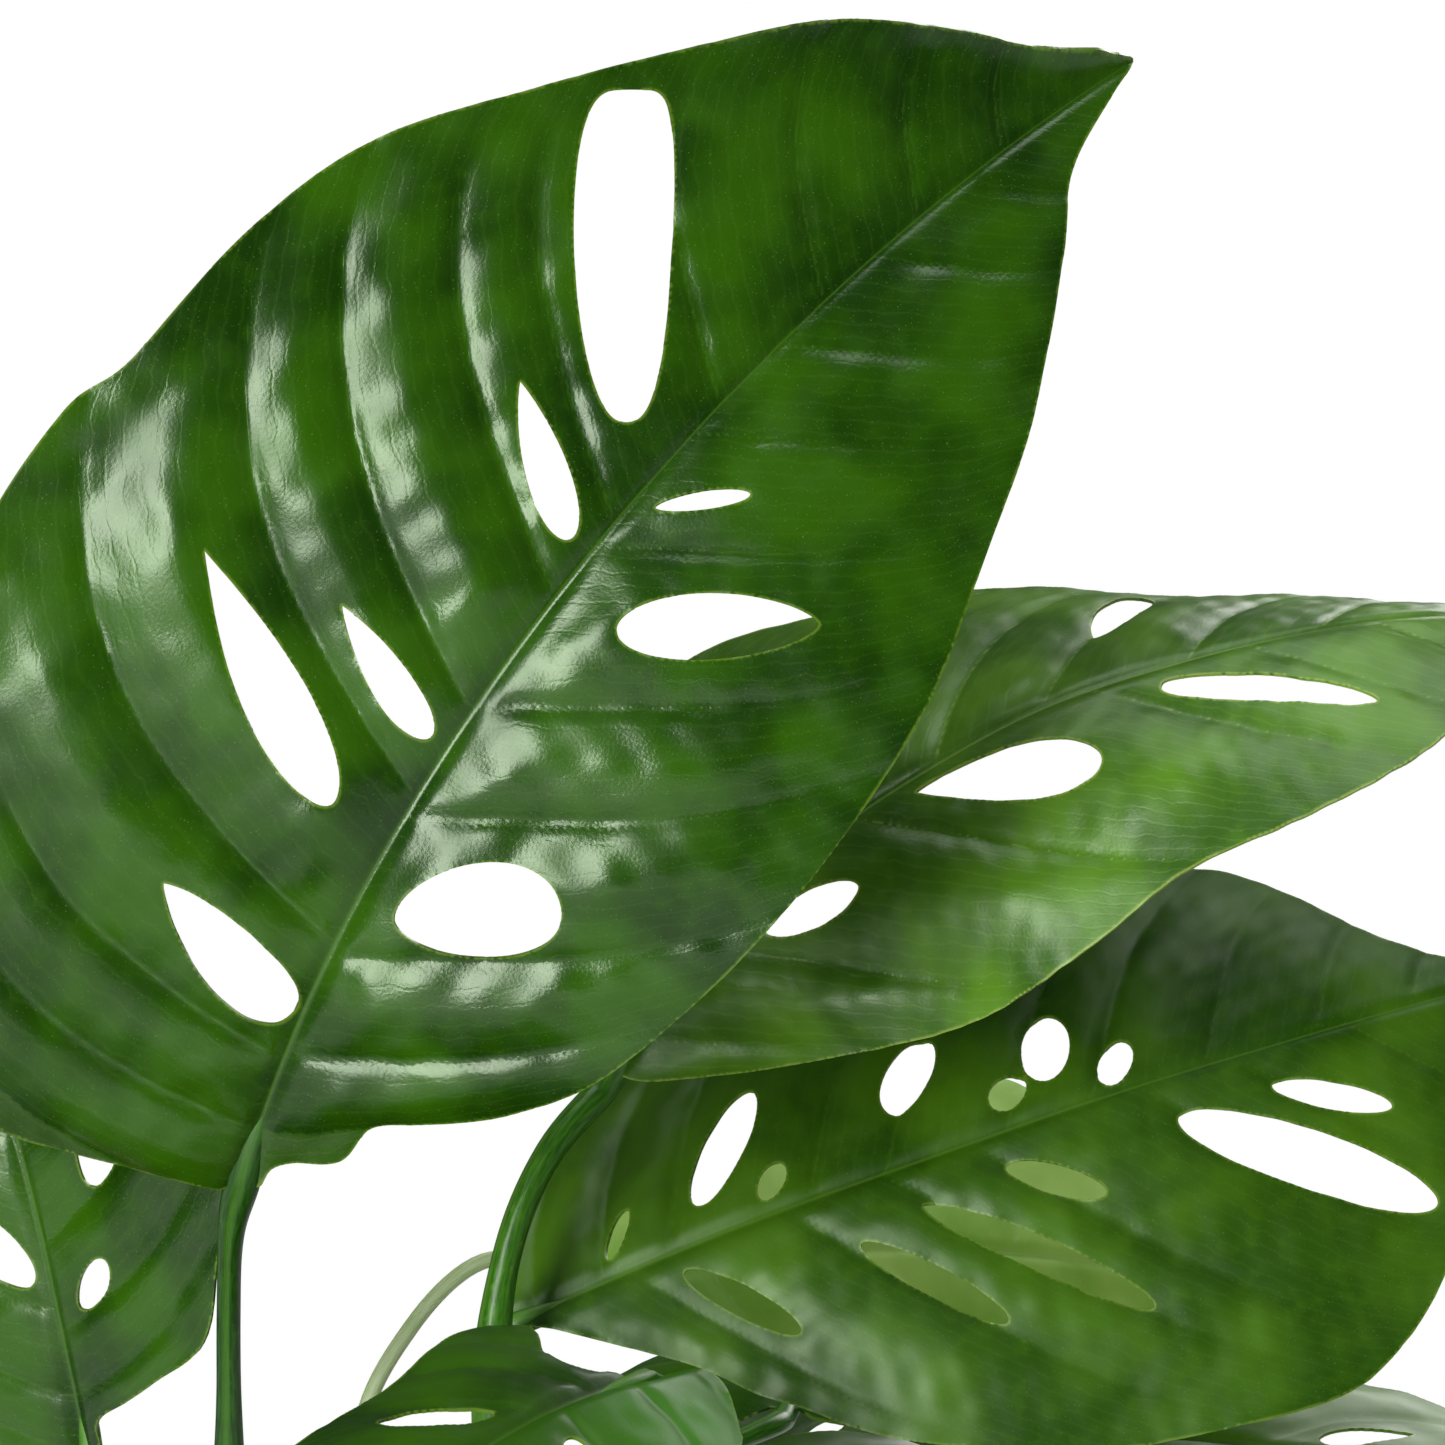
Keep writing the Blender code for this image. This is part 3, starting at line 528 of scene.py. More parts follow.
def flatBlade(name, leaf):                # the outline and holes filled, then cut into a fine even grid
    grid = leaf["grid"]
    edge = [(0, 0)] + leaf["left"] + [(leaf["length"], 0)] + leaf["right"][::-1]
    outline = smoothPath(edge, grid, closed=True)
    loops = [outline] + [holeLoop(hole, grid) for hole in leaf["holes"]]
    curve = bpy.data.curves.new(name, "CURVE")
    curve.dimensions = "2D"
    curve.fill_mode = "BOTH"
    for loop in loops:
        spline = curve.splines.new("POLY")
        spline.points.add(len(loop) - 1)
        spline.use_cyclic_u = True
        for point, (u, w) in zip(spline.points, loop):
            point.co = (u, w, 0, 1)
    guide = bpy.data.objects.new(name + "_guide", curve)
    plantParts.objects.link(guide)
    mesh = meshFrom(guide)
    bpy.data.objects.remove(guide)
    bm = bmesh.new()
    bm.from_mesh(mesh)
    bmesh.ops.remove_doubles(bm, verts=bm.verts, dist=0.01)
    bmesh.ops.dissolve_limit(bm, angle_limit=0.01, verts=bm.verts, edges=bm.edges)
    low, high = outline.min(0), outline.max(0)
    for axis, normal in ((0, (1, 0, 0)), (1, (0, 1, 0))):
        for place in np.arange(math.ceil(low[axis] / grid), math.floor(high[axis] / grid) + 1) * grid:
            where = (place, 0, 0) if axis == 0 else (0, place, 0)
            geometry = bm.verts[:] + bm.edges[:] + bm.faces[:]
            cut = bmesh.ops.bisect_plane(bm, geom=geometry, dist=0.02, plane_co=where, plane_no=normal)
            for item in cut["geom_cut"]:
                if isinstance(item, bmesh.types.BMEdge):
                    item.seam = True
    bmesh.ops.dissolve_limit(bm, angle_limit=0.01, verts=bm.verts, edges=bm.edges, delimit={"SEAM"})
    bmesh.ops.triangulate(bm, faces=[face for face in bm.faces if len(face.verts) > 4])
    bmesh.ops.reverse_faces(bm, faces=bm.faces)
    return bm, loops


def halfWidth(leaf, outline, along, across):                 # how far the blade reaches at each point's side
    half = np.ones(len(along))
    marks = np.arange(-15, leaf["length"] + 2, 2.0)
    for sign in (-1, 1):
        side = outline[np.sign(outline[:, 1]) == sign]
        widths = [max([abs(w) for u, w in side if abs(u - mark) < 2.5] or [1.0]) for mark in marks]
        chosen = np.sign(across) == sign
        half[chosen] = np.interp(along[chosen], marks, widths)
    return np.maximum(half, 1.0)


def veinFields(leaf, along, across, half):                   # which lateral vein is near, and how near
    length = leaf["length"]
    reach = np.abs(across)
    near = np.clip(reach / half, 0, 1)
    sweep = np.zeros(len(along))
    phase = np.zeros(len(along))
    gap = np.ones(len(along))
    away = np.zeros(len(along))
    for side, slopes, chosen in (("left", "slopes", across < 0), ("right", "rightSlopes", across >= 0)):
        veins = np.array(leaf["veins"][side], float)
        veins = np.concatenate([[veins[0] - 12], veins, [length + 4]])
        start = along[chosen].copy()
        for _ in range(5):
            slope = np.interp(start / length, (0, 0.35, 0.85), leaf["veins"][slopes])
            start = along[chosen] - reach[chosen] * (slope + bladeShape["hook"] * near[chosen] ** 3)
        index = np.clip(np.searchsorted(veins, start) - 1, 0, len(veins) - 2)
        width = veins[index + 1] - veins[index]
        share = np.clip((start - veins[index]) / width, 0, 1)
        sweep[chosen] = start
        phase[chosen] = share
        gap[chosen] = width
        away[chosen] = np.minimum(share, 1 - share) * width / np.sqrt(1 + slope ** 2)
    return near, sweep, phase, gap, away


def ripple(along, across, seed, shortest, longest):          # an unevenness made of a few waves
    turns = random.Random(seed)
    total = np.zeros(len(along))
    for _ in range(9):
        angle, size = turns.uniform(0, math.tau), turns.uniform(shortest, longest)
        wave = along * math.cos(angle) + across * math.sin(angle)
        total += np.sin(wave * math.tau / size + turns.uniform(0, math.tau))
    return total / 5


def makeBlade(name, leaf, seed):
    bm, loops = flatBlade("leaf_" + name, leaf)
    edges = kdtree.KDTree(sum(len(loop) for loop in loops))
    for index, (u, w) in enumerate(np.concatenate(loops)):
        edges.insert((u, w, 0), index)
    edges.balance()
    blade = newObject("blade_" + name, bm, plantParts)
    mesh = blade.data
    shape = bladeShape
    flat = pointsOf(mesh)
    along, across = flat[:, 0], flat[:, 1]
    edge = np.array([edges.find(point)[2] for point in flat])
    half = halfWidth(leaf, loops[0], along, across)
    near, sweep, phase, gap, away = veinFields(leaf, along, across, half)
    reach = np.abs(across)
    share = np.clip(along / leaf["length"], 0, 1)
    ribWidth = shape["ribWidth"] - shape["ribNarrows"] * share
    swell = 1 - np.abs(2 * phase ** shape["swellSkew"] - 1) ** shape["swellPower"]
    swell *= ease(reach, 0.5, 9) * (1 - 0.9 * ease(near, 0.6, 0.97))
    puff = np.where(across < 0, leaf["puff"], leaf.get("rightPuff", leaf["puff"]))
    puff = puff * np.clip(gap / shape["usualGap"], 0.3, 1.25) * (1 - 0.85 * ease(share, 0.4, 0.75))
    wave = np.sin(along * math.tau / shape["waveLength"] + seed + 1.4 * np.sign(across))
    dapple = ripple(along, across, seed + 50, *shape["dappleSizes"]) * ease(reach, 1, 5)
    lift = puff * swell
    lift -= shape["vein"] * np.exp(-(away / shape["veinWidth"]) ** 2) * (1 - 0.7 * near) * ease(reach, 0.3, 3)
    lift -= shape["rib"] * (1 - 0.7 * share) * np.exp(-(across / ribWidth) ** 2)
    lift -= shape["lip"] * np.exp(-edge / shape["lipWidth"])
    lift += leaf.get("cup", 0) * near ** 3 * (across < 0)
    lift += shape["wave"] * near ** 3 * wave
    lift += shape["roll"] * ripple(along, across, seed, *shape["rollSizes"])
    lift += shape["dapple"] * dapple
    setPoints(mesh, bend(leaf, along, across, lift) * mm)
    # a lighter patch on the left lobe: painted light, standing in for light shining through the blade
    u, w, size = leaf.get("paintedLitPatch", (0, 0, 1e-3))
    paintedLitPatch = np.exp(-((along - u) ** 2 + (across - w) ** 2) / size ** 2) * (across < 0)
    fields = {"along": along, "across": across, "sweep": sweep, "away": away / (1 - 0.5 * near),
              "swell": swell, "edge": edge, "rib": reach / ribWidth, "paintedLitPatch": paintedLitPatch}
    for key, values in fields.items():
        setField(mesh, key, values)
    corner = np.empty(len(mesh.loops), np.int32)
    mesh.loops.foreach_get("vertex_index", corner)
    plan = mesh.uv_layers.new(name="leafPlan")
    plan.data.foreach_set("uv", (flat[corner, :2] / 200 + 0.5).astype(np.float32).ravel())
    wall = blade.modifiers.new("thickness", "SOLIDIFY")
    wall.thickness = shape["thickness"] * mm
    wall.offset = 0
    wall.material_offset = 1
    wall.material_offset_rim = 2
    settle(blade)
    mesh = blade.data
    look = leafLooks[leaf["look"]]
    for material in (leafFront(name, look, seed), leafBack(name, look, seed), leafRim(name, look)):
        mesh.materials.append(material)
    finishPiece(blade, "leaf_" + name)
    mesh.set_sharp_from_angle(angle=math.radians(60))


def leafPattern(tree, look, seed):        # the greens and veins that both sides of a blade share
    along, across = field(tree, "along"), field(tree, "across")
    plan = put(tree, "CombineXYZ", {}, {0: along, 1: across, 2: float(seed)}).outputs[0]
    cloud = noise(tree, plan, leafMarks["cloudScale"], 3)
    patch = noise(tree, plan, leafMarks["patchScale"], 4)
    grain = noise(tree, plan, leafMarks["grainScale"], 3)
    # lighter green on the crest of each swell and darker in the vein grooves: painted light and shade that
    # follow the relief; the cloud is the blade's own uneven tone
    light = plus(tree, ramp(tree, cloud, 0.38, 0.66), times(tree, field(tree, "swell"), 0.25))
    green = layered(tree, linear(look["dark"]), [
        (light, look["light"]), (ramp(tree, patch, 0.45, 0.75, 0.0, 0.35), look["light"]),
        # the lit patch: painted light laid over the greens
        (field(tree, "paintedLitPatch"), leafMarks["paintedLitPatch"])])
    wander = times(tree, patch, leafMarks["threadWander"])
    thread = plus(tree, times(tree, field(tree, "sweep"), leafMarks["threads"]), wander)
    thread = ramp(tree, maths(tree, "SINE", thread), 0.7, 1.0)
    line = ramp(tree, field(tree, "away"), 0.42, 0.1)
    rib = ramp(tree, field(tree, "rib"), 0.3, 0.1)
    return plan, green, grain, thread, line, rib


def lightThrough(tree, shader, green, look, share):          # some of the light comes through the blade
    glow = mixed(tree, 0.5, green, linear(look["glow"]))
    thin = put(tree, "BsdfTranslucent", {}, {"Color": glow})
    return put(tree, "MixShader", {}, {0: share, 1: shader, 2: thin.outputs[0]}).outputs[0]


def leafFront(name, look, seed):
    material, tree = newMaterial("leafFront_" + name)
    plan, green, grain, thread, line, rib = leafPattern(tree, look, seed)
    rim = ramp(tree, field(tree, "edge"), 0.5, 0.1, 0.0, 0.6)
    dust = ramp(tree, noise(tree, plan, leafMarks["dustScale"], 0), 0.74, 0.82, 0.0, 0.3)
    green = layered(tree, green, [
        (times(tree, thread, 0.07), look["vein"]), (times(tree, line, look["veinShow"]), look["vein"]),
        (times(tree, rib, 0.35), look["vein"]), (rim, look["rim"]), (dust, leafMarks["dust"])])
    patch = noise(tree, plan, leafMarks["glossScale"], 3)
    gloss = ramp(tree, patch, 0.3, 0.7, look["rough"] - 0.03, look["rough"] + 0.08)
    height = plus(tree, times(tree, grain, 0.7), times(tree, thread, -0.2))
    height = plus(tree, height, times(tree, line, -0.5))
    shader = surfaced(tree, green, gloss, {
        "IOR": 1.55, "Specular IOR Level": look["shine"], "Specular Tint": (0.86, 1, 0.8, 1),
        "Normal": bumped(tree, 0.26 * look["grain"], 0.00014, height)})
    return ended(material, lightThrough(tree, shader, green, look, look["through"]))


def leafBack(name, look, seed):           # paler and duller, with the veins standing out
    material, tree = newMaterial("leafBack_" + name)
    _, green, grain, thread, line, rib = leafPattern(tree, look, seed)
    vein = leafMarks["backVein"]
    green = layered(tree, green, [
        (0.35, leafMarks["back"]), (times(tree, thread, 0.16), vein), (times(tree, line, 0.6), vein),
        (times(tree, rib, 0.8), vein)])
    height = plus(tree, times(tree, grain, 0.8), times(tree, thread, 0.5))
    bump = bumped(tree, 0.6, 0.00015, plus(tree, height, line))
    shader = surfaced(tree, green, 0.52, {"IOR": 1.42, "Normal": bump})
    return ended(material, lightThrough(tree, shader, green, look, look["through"] + 0.05))


def leafRim(name, look):                  # the pale edge of the blade and of its holes
    material, tree = newMaterial("leafRim_" + name)
    place = put(tree, "TexCoord", {}, {}).outputs["Object"]
    patch = ramp(tree, noise(tree, place, 260.0, 2), 0.35, 0.7)
    rim = mixed(tree, patch, linear(look["rim"]), linear(look["light"]))
    return ended(material, surfaced(tree, rim, 0.45, {}))


stalkShape = {                            # millimetres; ridgeReach is the ridge's share of the midrib
    "radius": 1.7, "atBlade": 1.5, "clearance": 2.6, "behind": 1.2, "sides": 20, "step": 1.6, "sheath": 1.35,
    "channel": 0.3, "knuckle": 0.2, "knuckleLength": 9.0, "ridgeEnd": 0.3, "ridgeReach": 0.86,
}

stems = {
    "stem_left": [(-19, 6, 110), (-20, 3, 135), (-22, -1, 160), (-20.5, -3, 181)],
    "stem_right": [(13, -8, 110), (15, -5, 140), (13, -1, 172), (15, 0, 200)],
    "stem_back": [(12, 26, 110), (14, 30, 140), (20, 34, 165), (24, 38, 184)],
}

stemShape = {"radius": 3.2, "taper": 0.85, "sides": 28, "step": 0.9, "joint": 17.0, "swell": 0.16,
             "channel": 0.08}


def straightTube(sides, rings):           # a round tube with closed ends, one unit between its rings
    bm = bmesh.new()
    bmesh.ops.create_circle(bm, cap_ends=True, segments=sides, radius=1.0)
    edges = bm.edges[:]
    for _ in range(rings - 1):
        grown = bmesh.ops.extrude_edge_only(bm, edges=edges)["geom"]
        verts = {item for item in grown if isinstance(item, bmesh.types.BMVert)}
        bmesh.ops.translate(bm, verts=list(verts), vec=(0, 0, 1))
        edges = [item for item in grown
                 if isinstance(item, bmesh.types.BMEdge) and set(item.verts) <= verts]
    bmesh.ops.holes_fill(bm, edges=edges, sides=0)
    bmesh.ops.recalc_face_normals(bm, faces=bm.faces)
    return bm


def carryFrames(path, out):               # directions across a tube, carried from its last ring to its first
    ahead = unit(np.gradient(path, axis=0))
    up = np.zeros_like(path)
    up[-1] = unit(out - ahead[-1] * np.dot(out, ahead[-1]))
    for index in range(len(path) - 2, -1, -1):
        turned = up[index + 1] - ahead[index] * np.dot(up[index + 1], ahead[index])
        up[index] = unit(turned)
    return ahead, up, np.cross(ahead, up)


def bentTube(name, path, radii, out, sides, channel):        # radii at each ring; the channel faces out
    bm = straightTube(sides, len(path))
    tube = newObject(name, bm, plantParts)
    plan = pointsOf(tube.data)
    ring = np.round(plan[:, 2]).astype(int)
    angle = np.arctan2(plan[:, 1], plan[:, 0])
    _, up, aside = carryFrames(path, np.array(out, float))
    radius = radii[ring] * (1 - channel[ring] * np.exp(-(angle / 0.55) ** 2))
    around = up[ring] * np.cos(angle)[:, None] + aside[ring] * np.sin(angle)[:, None]
    setPoints(tube.data, (path[ring] + around * radius[:, None]) * mm)
    setField(tube.data, "along", walkedAlong(path)[ring])
    setField(tube.data, "around", angle)
    return tube


def stalkMaterial(name, look):            # yellowish green with fine lengthwise lines, paler along the channel
    material, tree = newMaterial(name)
    along, around = field(tree, "along"), field(tree, "around")
    around = maths(tree, "ABSOLUTE", around)
    plan = put(tree, "CombineXYZ", {}, {0: times(tree, along, 0.06), 1: around}).outputs[0]
    streak = noise(tree, plan, 5.0, 4)
    fleck = noise(tree, put(tree, "TexCoord", {}, {}).outputs["Object"], 900.0, 2)
    green = layered(tree, linear(look["dark"]), [
        (ramp(tree, streak, 0.3, 0.7), look["light"]),
        (ramp(tree, around, 0.6, 0.1, 0.0, 0.4), look["channel"]),
        (ramp(tree, fleck, 0.6, 0.78, 0.0, 0.35), look["fleck"])])
    bump = bumped(tree, 0.5, 0.0001, plus(tree, streak, times(tree, fleck, 0.5)))
    inputs = {"Normal": bump, "Subsurface Weight": 0.1, "Subsurface Scale": 0.002}
    return ended(material, surfaced(tree, green, 0.38, inputs))


stalkLooks = {
    "deep": {"dark": (12, 52, 0), "light": (32, 84, 6), "channel": (80, 136, 36), "fleck": (70, 116, 34)},
    "stalk": {"dark": (34, 88, 4), "light": (66, 124, 18), "channel": (110, 160, 56),
              "fleck": (110, 150, 60)},
    "young": {"dark": (170, 200, 135), "light": (205, 222, 175), "channel": (212, 228, 185),
              "fleck": (205, 220, 170)},
    "stem": {"dark": (66, 100, 38), "light": (104, 136, 60), "channel": (120, 150, 80),
             "fleck": (150, 140, 90)},
}


def makeStalk(name, leaf, material):      # from the stem up to the blade, then under it as the midrib's ridge
    shape = stalkShape
    tip = bend(leaf, np.array([-shape["clearance"]]), np.zeros(1), -shape["behind"])[0]
    foot, second = np.array(leaf["stalk"][:2], float)
    inward = foot - 0.12 * (second - foot)
    free = smoothPath([inward] + leaf["stalk"] + [tip], shape["step"])
    reach = np.arange(2.0, leaf["length"] * shape["ridgeReach"], 2.6)
    slim = shape["atBlade"] + (shape["ridgeEnd"] - shape["atBlade"]) * (reach / reach[-1]) ** 0.7
    knuckle = leaf.get("knuckle", shape["knuckle"])
    slim *= 1 + knuckle * np.exp(-(reach / shape["knuckleLength"]) ** 2)
    groove = bladeShape["rib"] * (1 - 0.7 * reach / leaf["length"])
    sunk = -groove - (0.95 * slim + 0.15) * ease(reach, -6.0, 12.0)
    ridge = bend(leaf, reach, np.zeros(len(reach)), sunk)
    path = np.concatenate([free, ridge])
    walked = walkedAlong(free)
    total = walked[-1]
    radii = shape["radius"] + (shape["atBlade"] - shape["radius"]) * walked / total
    radii *= 1 + (leaf.get("sheath", shape["sheath"]) - 1) * (1 - ease(walked, 0.05 * total, 0.5 * total))
    radii *= 1 + knuckle * np.exp(-((walked - total) / shape["knuckleLength"]) ** 2)
    radii = np.concatenate([radii, slim])
    part = np.arange(len(path)) / len(free)                  # 1 where the blade begins
    stout = leaf.get("stout", 1.0)
    radii *= stout + (1 - stout) * ease(part, 0.85, 1.2)
    channel = np.where(part < 1, shape["channel"] * ease(part, 0.05, 0.3), 0)
    out = bladeFrame(leaf, np.array([leaf["length"] * shape["ridgeReach"]]))[3][0]
    tube = bentTube("stalkTube_" + name, path, radii, out, shape["sides"], channel)
    tube.data.materials.append(material)
    finishPiece(tube, "stalk_" + name)


def makeStem(name, points, material, seed):                  # a climbing stem with its leaf joints
    shape = stemShape
    path = smoothPath(points, shape["step"])
    walked = walkedAlong(path)
    share = walked / walked[-1]
    radii = shape["radius"] * (1 + (shape["taper"] - 1) * share)
    for joint in np.arange(seed * 3 + 9, walked[-1], shape["joint"]):
        radii *= 1 + shape["swell"] * np.exp(-((walked - joint) / 1.6) ** 2)
        radii *= 1 - 0.1 * np.exp(-((walked - joint - 2.2) / 0.6) ** 2)
    channel = shape["channel"] * np.ones(len(path))
    tube = bentTube("stemTube_" + name[5:], path, radii, (0.3, -1, 0.1), shape["sides"], channel)
    tube.data.materials.append(material)
    finishPiece(tube, name)


potShape = {"height": 132.0, "base": 50.0, "neck": 68.0, "rim": 75.0, "rimHeight": 30.0, "wall": 7.0,
            "floor": 8.0, "drain": 5.0, "drainRing": 26.0, "drains": 3, "steps": 160}

clayLook = {"dark": (160, 84, 52), "light": (196, 116, 78), "bloom": (214, 178, 150), "damp": (132, 66, 42)}

soilShape = {                             # millimetres; lumps are the sizes and heights of its waves
    "top": 117.0, "crown": 3.0, "gap": 0.35, "rings": 1.3, "steps": 144, "crumbs": 520, "bark": 90,
    "lumps": [(17.0, 0.9), (6.5, 0.8), (3.1, 0.6), (1.9, 0.45)], "crumbSize": (0.9, 2.1),
    "barkSize": [(3, 6.5), (0.8, 1.8), (0.4, 0.8)], "crumbTone": (0.1, 0.75), "barkTone": (0.6, 1.0),
}

soilLook = {"dark": (34, 24, 17), "light": (66, 46, 32), "bits": (112, 78, 50), "fine": (24, 17, 12)}


def innerRadius(height):
    share = (height - potShape["floor"]) / (potShape["height"] - potShape["floor"])
    low = potShape["base"] - potShape["wall"] + 1
    high = potShape["neck"] - potShape["wall"] + 5
    return low + (high - low) * share


def arcPoints(centre, radius, first, last, count):           # part of a circle, angles in degrees
    turns = [math.radians(first + (last - first) * k / (count - 1)) for k in range(count)]
    return [(centre[0] + radius * math.cos(t), centre[1] + radius * math.sin(t)) for t in turns]


def spunBody(profile, steps):             # a body turned about Z from a profile of radius and height
    bm = bmesh.new()
    points = [bm.verts.new((radius * mm, 0, height * mm)) for radius, height in profile]
    edges = [bm.edges.new(pair) for pair in zip(points, points[1:])]
    bmesh.ops.spin(bm, geom=points + edges, cent=(0, 0, 0), axis=(0, 0, 1), angle=math.tau, steps=steps,
                   use_merge=True)
    bmesh.ops.remove_doubles(bm, verts=bm.verts, dist=0.000005)
    bmesh.ops.recalc_face_normals(bm, faces=bm.faces)
    return bm


def makePot():
    shape = potShape
    floor, top, rim = shape["floor"], shape["height"], shape["rim"]
    rimFoot = top - shape["rimHeight"]
    profile = [(0, floor), (innerRadius(floor) - 4, floor)]
    profile += arcPoints((innerRadius(floor) - 4, floor + 4), 4, -80, -5, 6)
    profile += [(innerRadius(h), h) for h in (20, 40, 60, 80, 100, 115, 125)]
    profile += arcPoints((innerRadius(top) + 2.5, top - 2.2), 2.2, 170, 95, 6)
    profile += arcPoints((rim - 2.6, top - 2.6), 2.6, 85, 5, 7)
    profile += [(rim - 0.5, top - 12), (rim - 1.0, rimFoot + 8)]
    profile += arcPoints((rim - 3.4, rimFoot + 2.2), 2.2, -5, -85, 6)
    profile += arcPoints((shape["neck"] + 1.2, rimFoot - 1.2), 1.2, 90, 180, 4)
    flare = shape["neck"] - shape["base"]
    profile += [(shape["base"] + flare * h / rimFoot, h) for h in (80, 60, 40, 20, 6)]
    profile += arcPoints((shape["base"] - 1.4, 2.4), 2.4, -5, -85, 6)
    profile += [(shape["base"] - 7, 0), (shape["base"] - 8, 1.2), (0, 1.2)]
    pot = newObject("clayPot", spunBody(profile, shape["steps"]), plantParts)
    cutters = bmesh.new()
    for index in range(shape["drains"]):
        angle = math.tau * (index + 0.25) / shape["drains"]
        made = bmesh.ops.create_cone(cutters, cap_ends=True, segments=32, radius1=shape["drain"] * mm,
                                     radius2=shape["drain"] * mm, depth=4 * floor * mm)
        centre = Vector((math.cos(angle), math.sin(angle), 0)) * shape["drainRing"] * mm
        bmesh.ops.translate(cutters, verts=made["verts"], vec=centre)
    cutter = newObject("drainCutter", cutters, plantParts)
    drill = pot.modifiers.new("drains", "BOOLEAN")
    drill.operation = "DIFFERENCE"
    drill.object = cutter
    settle(pot)
    bpy.data.objects.remove(cutter)
    pot.data.materials.clear()
    pot.data.materials.append(clayMaterial())
    finishPiece(pot, "pot")
    pot.data.set_sharp_from_angle(angle=math.radians(40))


def clayMaterial():                       # fired clay: throwing lines, pores, lime bloom and damp at the foot
    material, tree = newMaterial("firedClay")
    place = put(tree, "TexCoord", {}, {}).outputs["Object"]
    split = put(tree, "SeparateXYZ", {}, {0: place})
    height = split.outputs[2]
    cloud = noise(tree, place, 18.0, 5)
    pores = noise(tree, place, 900.0, 3)
    lineVector = put(tree, "CombineXYZ", {}, {0: cloud, 2: times(tree, height, 60.0)}).outputs[0]
    lines = noise(tree, lineVector, 9.0, 3)
    bloom = times(tree, ramp(tree, noise(tree, place, 42.0, 6), 0.5, 0.72),
                  ramp(tree, height, 0.03, 0.11, 0.22, 0.08))
    look = clayLook
    clay = layered(tree, linear(look["dark"]), [
        (ramp(tree, cloud, 0.3, 0.7), look["light"]),
        (ramp(tree, lines, 0.45, 0.7, 0.0, 0.25), look["light"]),
        (bloom, look["bloom"]), (ramp(tree, height, 0.02, 0.0, 0.0, 0.5), look["damp"]),
        (ramp(tree, pores, 0.62, 0.75, 0.0, 0.35), look["damp"])])
    rough = ramp(tree, cloud, 0.3, 0.7, 0.72, 0.9)
    bump = bumped(tree, 0.45, 0.0004, plus(tree, times(tree, pores, 0.7), lines))
    return ended(material, surfaced(tree, clay, rough, {"Normal": bump}))


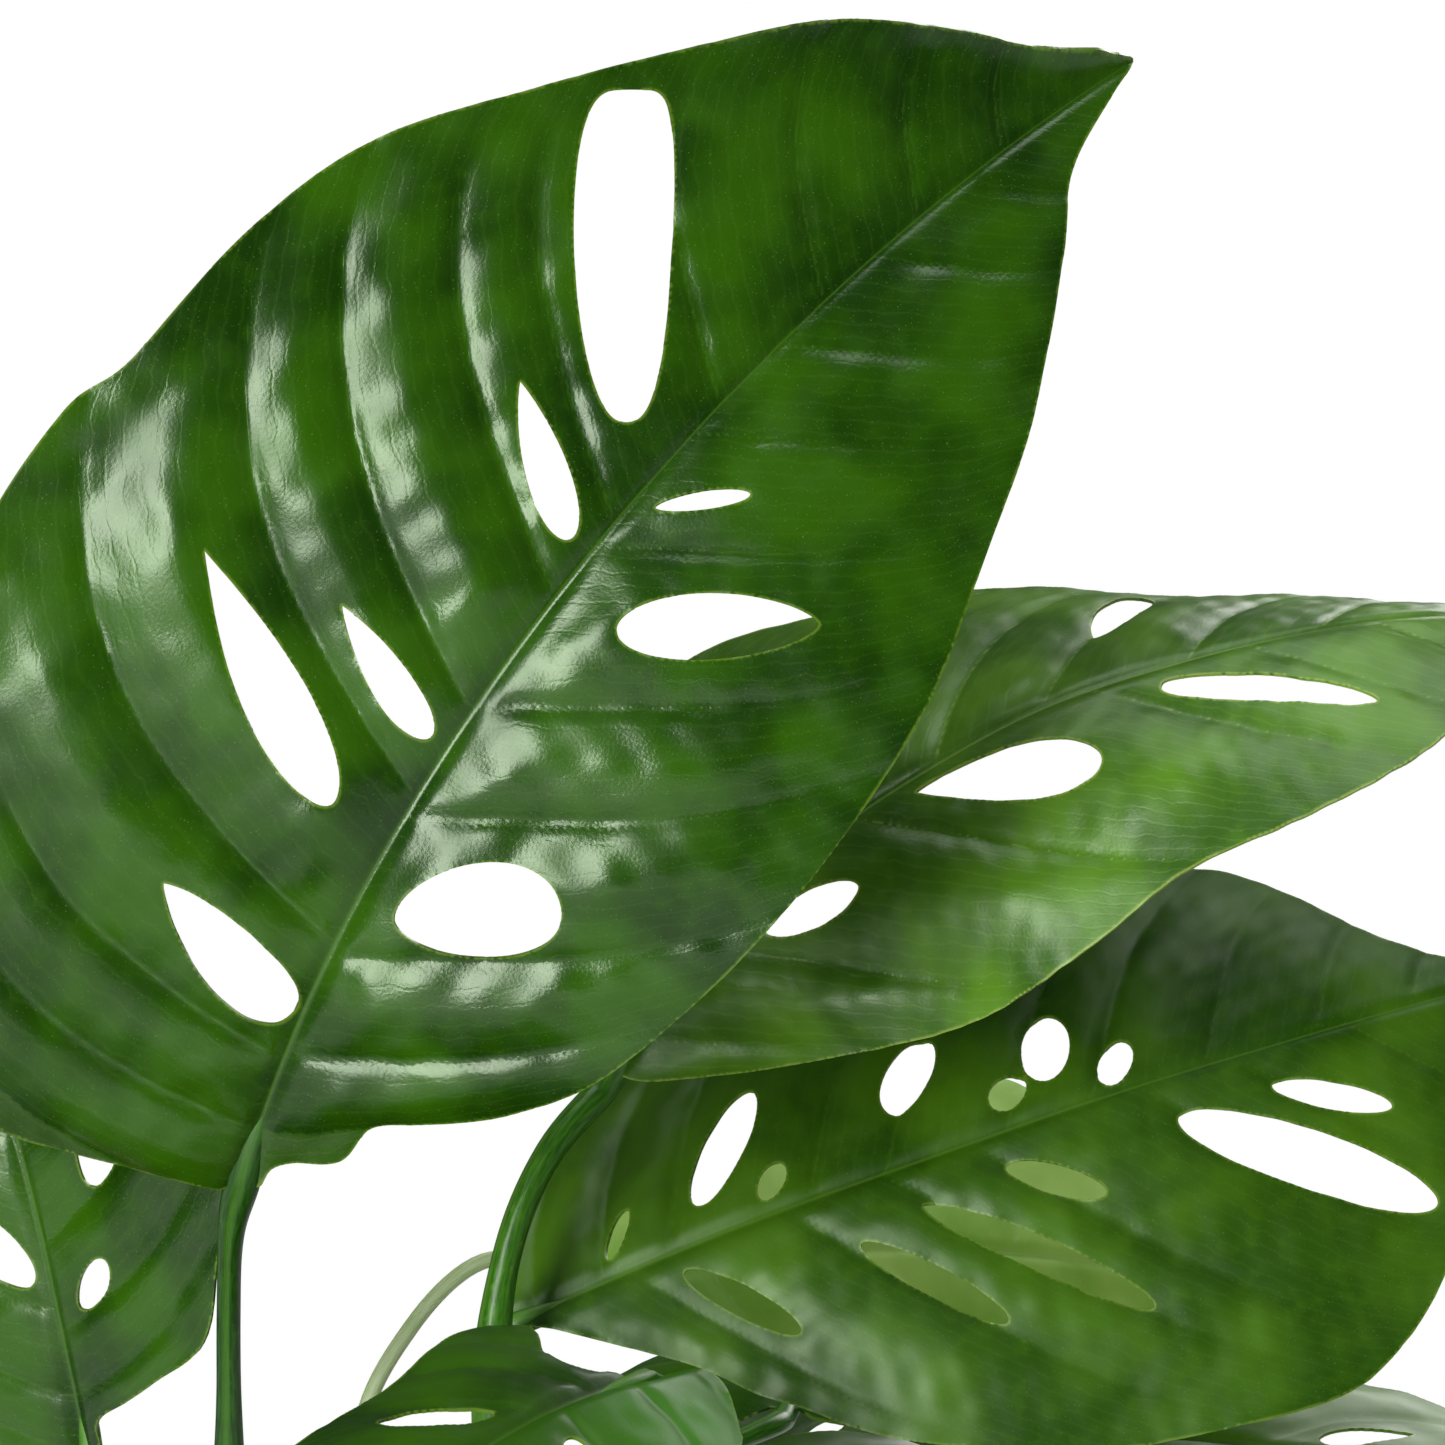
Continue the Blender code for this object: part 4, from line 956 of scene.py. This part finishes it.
def makeSoil():                           # a lumpy bed with loose crumbs and slivers of bark on it
    shape = soilShape
    draw = random.Random(5)
    top, floor = shape["top"], potShape["floor"]
    outer = innerRadius(top) - shape["gap"]
    radii = np.arange(0, outer, shape["rings"])
    profile = [(r, top + shape["crown"] * (1 - (r / outer) ** 2)) for r in radii] + [(outer, top - 1)]
    profile += [(innerRadius(h) - shape["gap"], h) for h in (95, 70, 45, floor + 4)]
    profile += [(innerRadius(floor) - 4, floor + shape["gap"]), (0, floor + shape["gap"])]
    soil = newObject("soilBed", spunBody(profile, shape["steps"]), plantParts)
    points = pointsOf(soil.data) / mm
    upper = points[:, 2] > top - 0.5
    lump = np.zeros(len(points))
    for size, amount in shape["lumps"]:
        for _ in range(4):
            turn, start = draw.uniform(0, math.tau), draw.uniform(0, math.tau)
            wave = points[:, 0] * math.cos(turn) + points[:, 1] * math.sin(turn)
            lump += amount * 0.4 * np.sin(wave * math.tau / size + start)
    points[:, 2] += np.where(upper, lump - 0.8, 0)
    setPoints(soil.data, points * mm)
    bed = bmesh.new()
    bed.from_mesh(soil.data)
    shade = bed.verts.layers.float.new("shade")
    for index in range(shape["crumbs"] + shape["bark"]):     # the crumbs first, then the bark
        isCrumb = index < shape["crumbs"]
        far = (outer - 4) * math.sqrt(draw.random())
        turn = draw.uniform(0, math.tau)
        tone = draw.uniform(*shape["crumbTone" if isCrumb else "barkTone"])
        made = bmesh.ops.create_icosphere(bed, subdivisions=1, radius=1.0)["verts"]
        size = draw.uniform(*shape["crumbSize"])
        if isCrumb:
            sizes = (size, size * draw.uniform(0.7, 1.2), size * draw.uniform(0.6, 0.9))
        else:
            sizes = [draw.uniform(*limits) for limits in shape["barkSize"]]
        for vert in made:
            vert.co *= draw.uniform(0.8, 1.15)
            vert[shade] = tone
        bmesh.ops.scale(bed, verts=made, vec=Vector(sizes) * mm)
        spin = Vector((draw.uniform(-0.3, 0.3), draw.uniform(-0.3, 0.3), draw.uniform(0, 6.3)))
        for axis, angle in zip("XYZ", spin):
            bmesh.ops.rotate(bed, verts=made, cent=(0, 0, 0), matrix=Matrix.Rotation(angle, 3, axis))
        rest = top + shape["crown"] * (1 - (far / outer) ** 2) - 0.4
        place = Vector((far * math.cos(turn), far * math.sin(turn), rest)) * mm
        bmesh.ops.translate(bed, verts=made, vec=place)
    bed.to_mesh(soil.data)
    bed.free()
    soil.data.materials.append(soilMaterial())
    finishPiece(soil, "soil")


def soilMaterial():
    material, tree = newMaterial("pottingSoil")
    place = put(tree, "TexCoord", {}, {}).outputs["Object"]
    fine = noise(tree, place, 1400.0, 3)
    broad = noise(tree, place, 110.0, 4)
    soil = layered(tree, linear(soilLook["dark"]), [
        (ramp(tree, broad, 0.3, 0.7), soilLook["light"]),
        (times(tree, field(tree, "shade"), 0.75), soilLook["bits"]),
        (ramp(tree, fine, 0.55, 0.75, 0.0, 0.5), soilLook["fine"])])
    bump = bumped(tree, 0.8, 0.0006, plus(tree, fine, broad))
    return ended(material, surfaced(tree, soil, 0.93, {"Normal": bump}))


makeStudio()
print("studio ready")
stalkGreens = {key: stalkMaterial(key + "Green", look) for key, look in stalkLooks.items()}
for seed, (name, leaf) in enumerate(leaves.items()):
    walkMidrib(leaf)
    if "left" not in leaf:
        ordinarySides(leaf, leaf["length"])
    makeBlade(name, leaf, seed + 1)
    makeStalk(name, leaf, stalkGreens[leaf.get("stalkLook", "stalk")])
    print("leaf", name, "done")
for seed, (name, points) in enumerate(stems.items()):
    makeStem(name, points, stalkGreens["stem"], seed)
makePot()
makeSoil()
print("pot, soil and stems done")
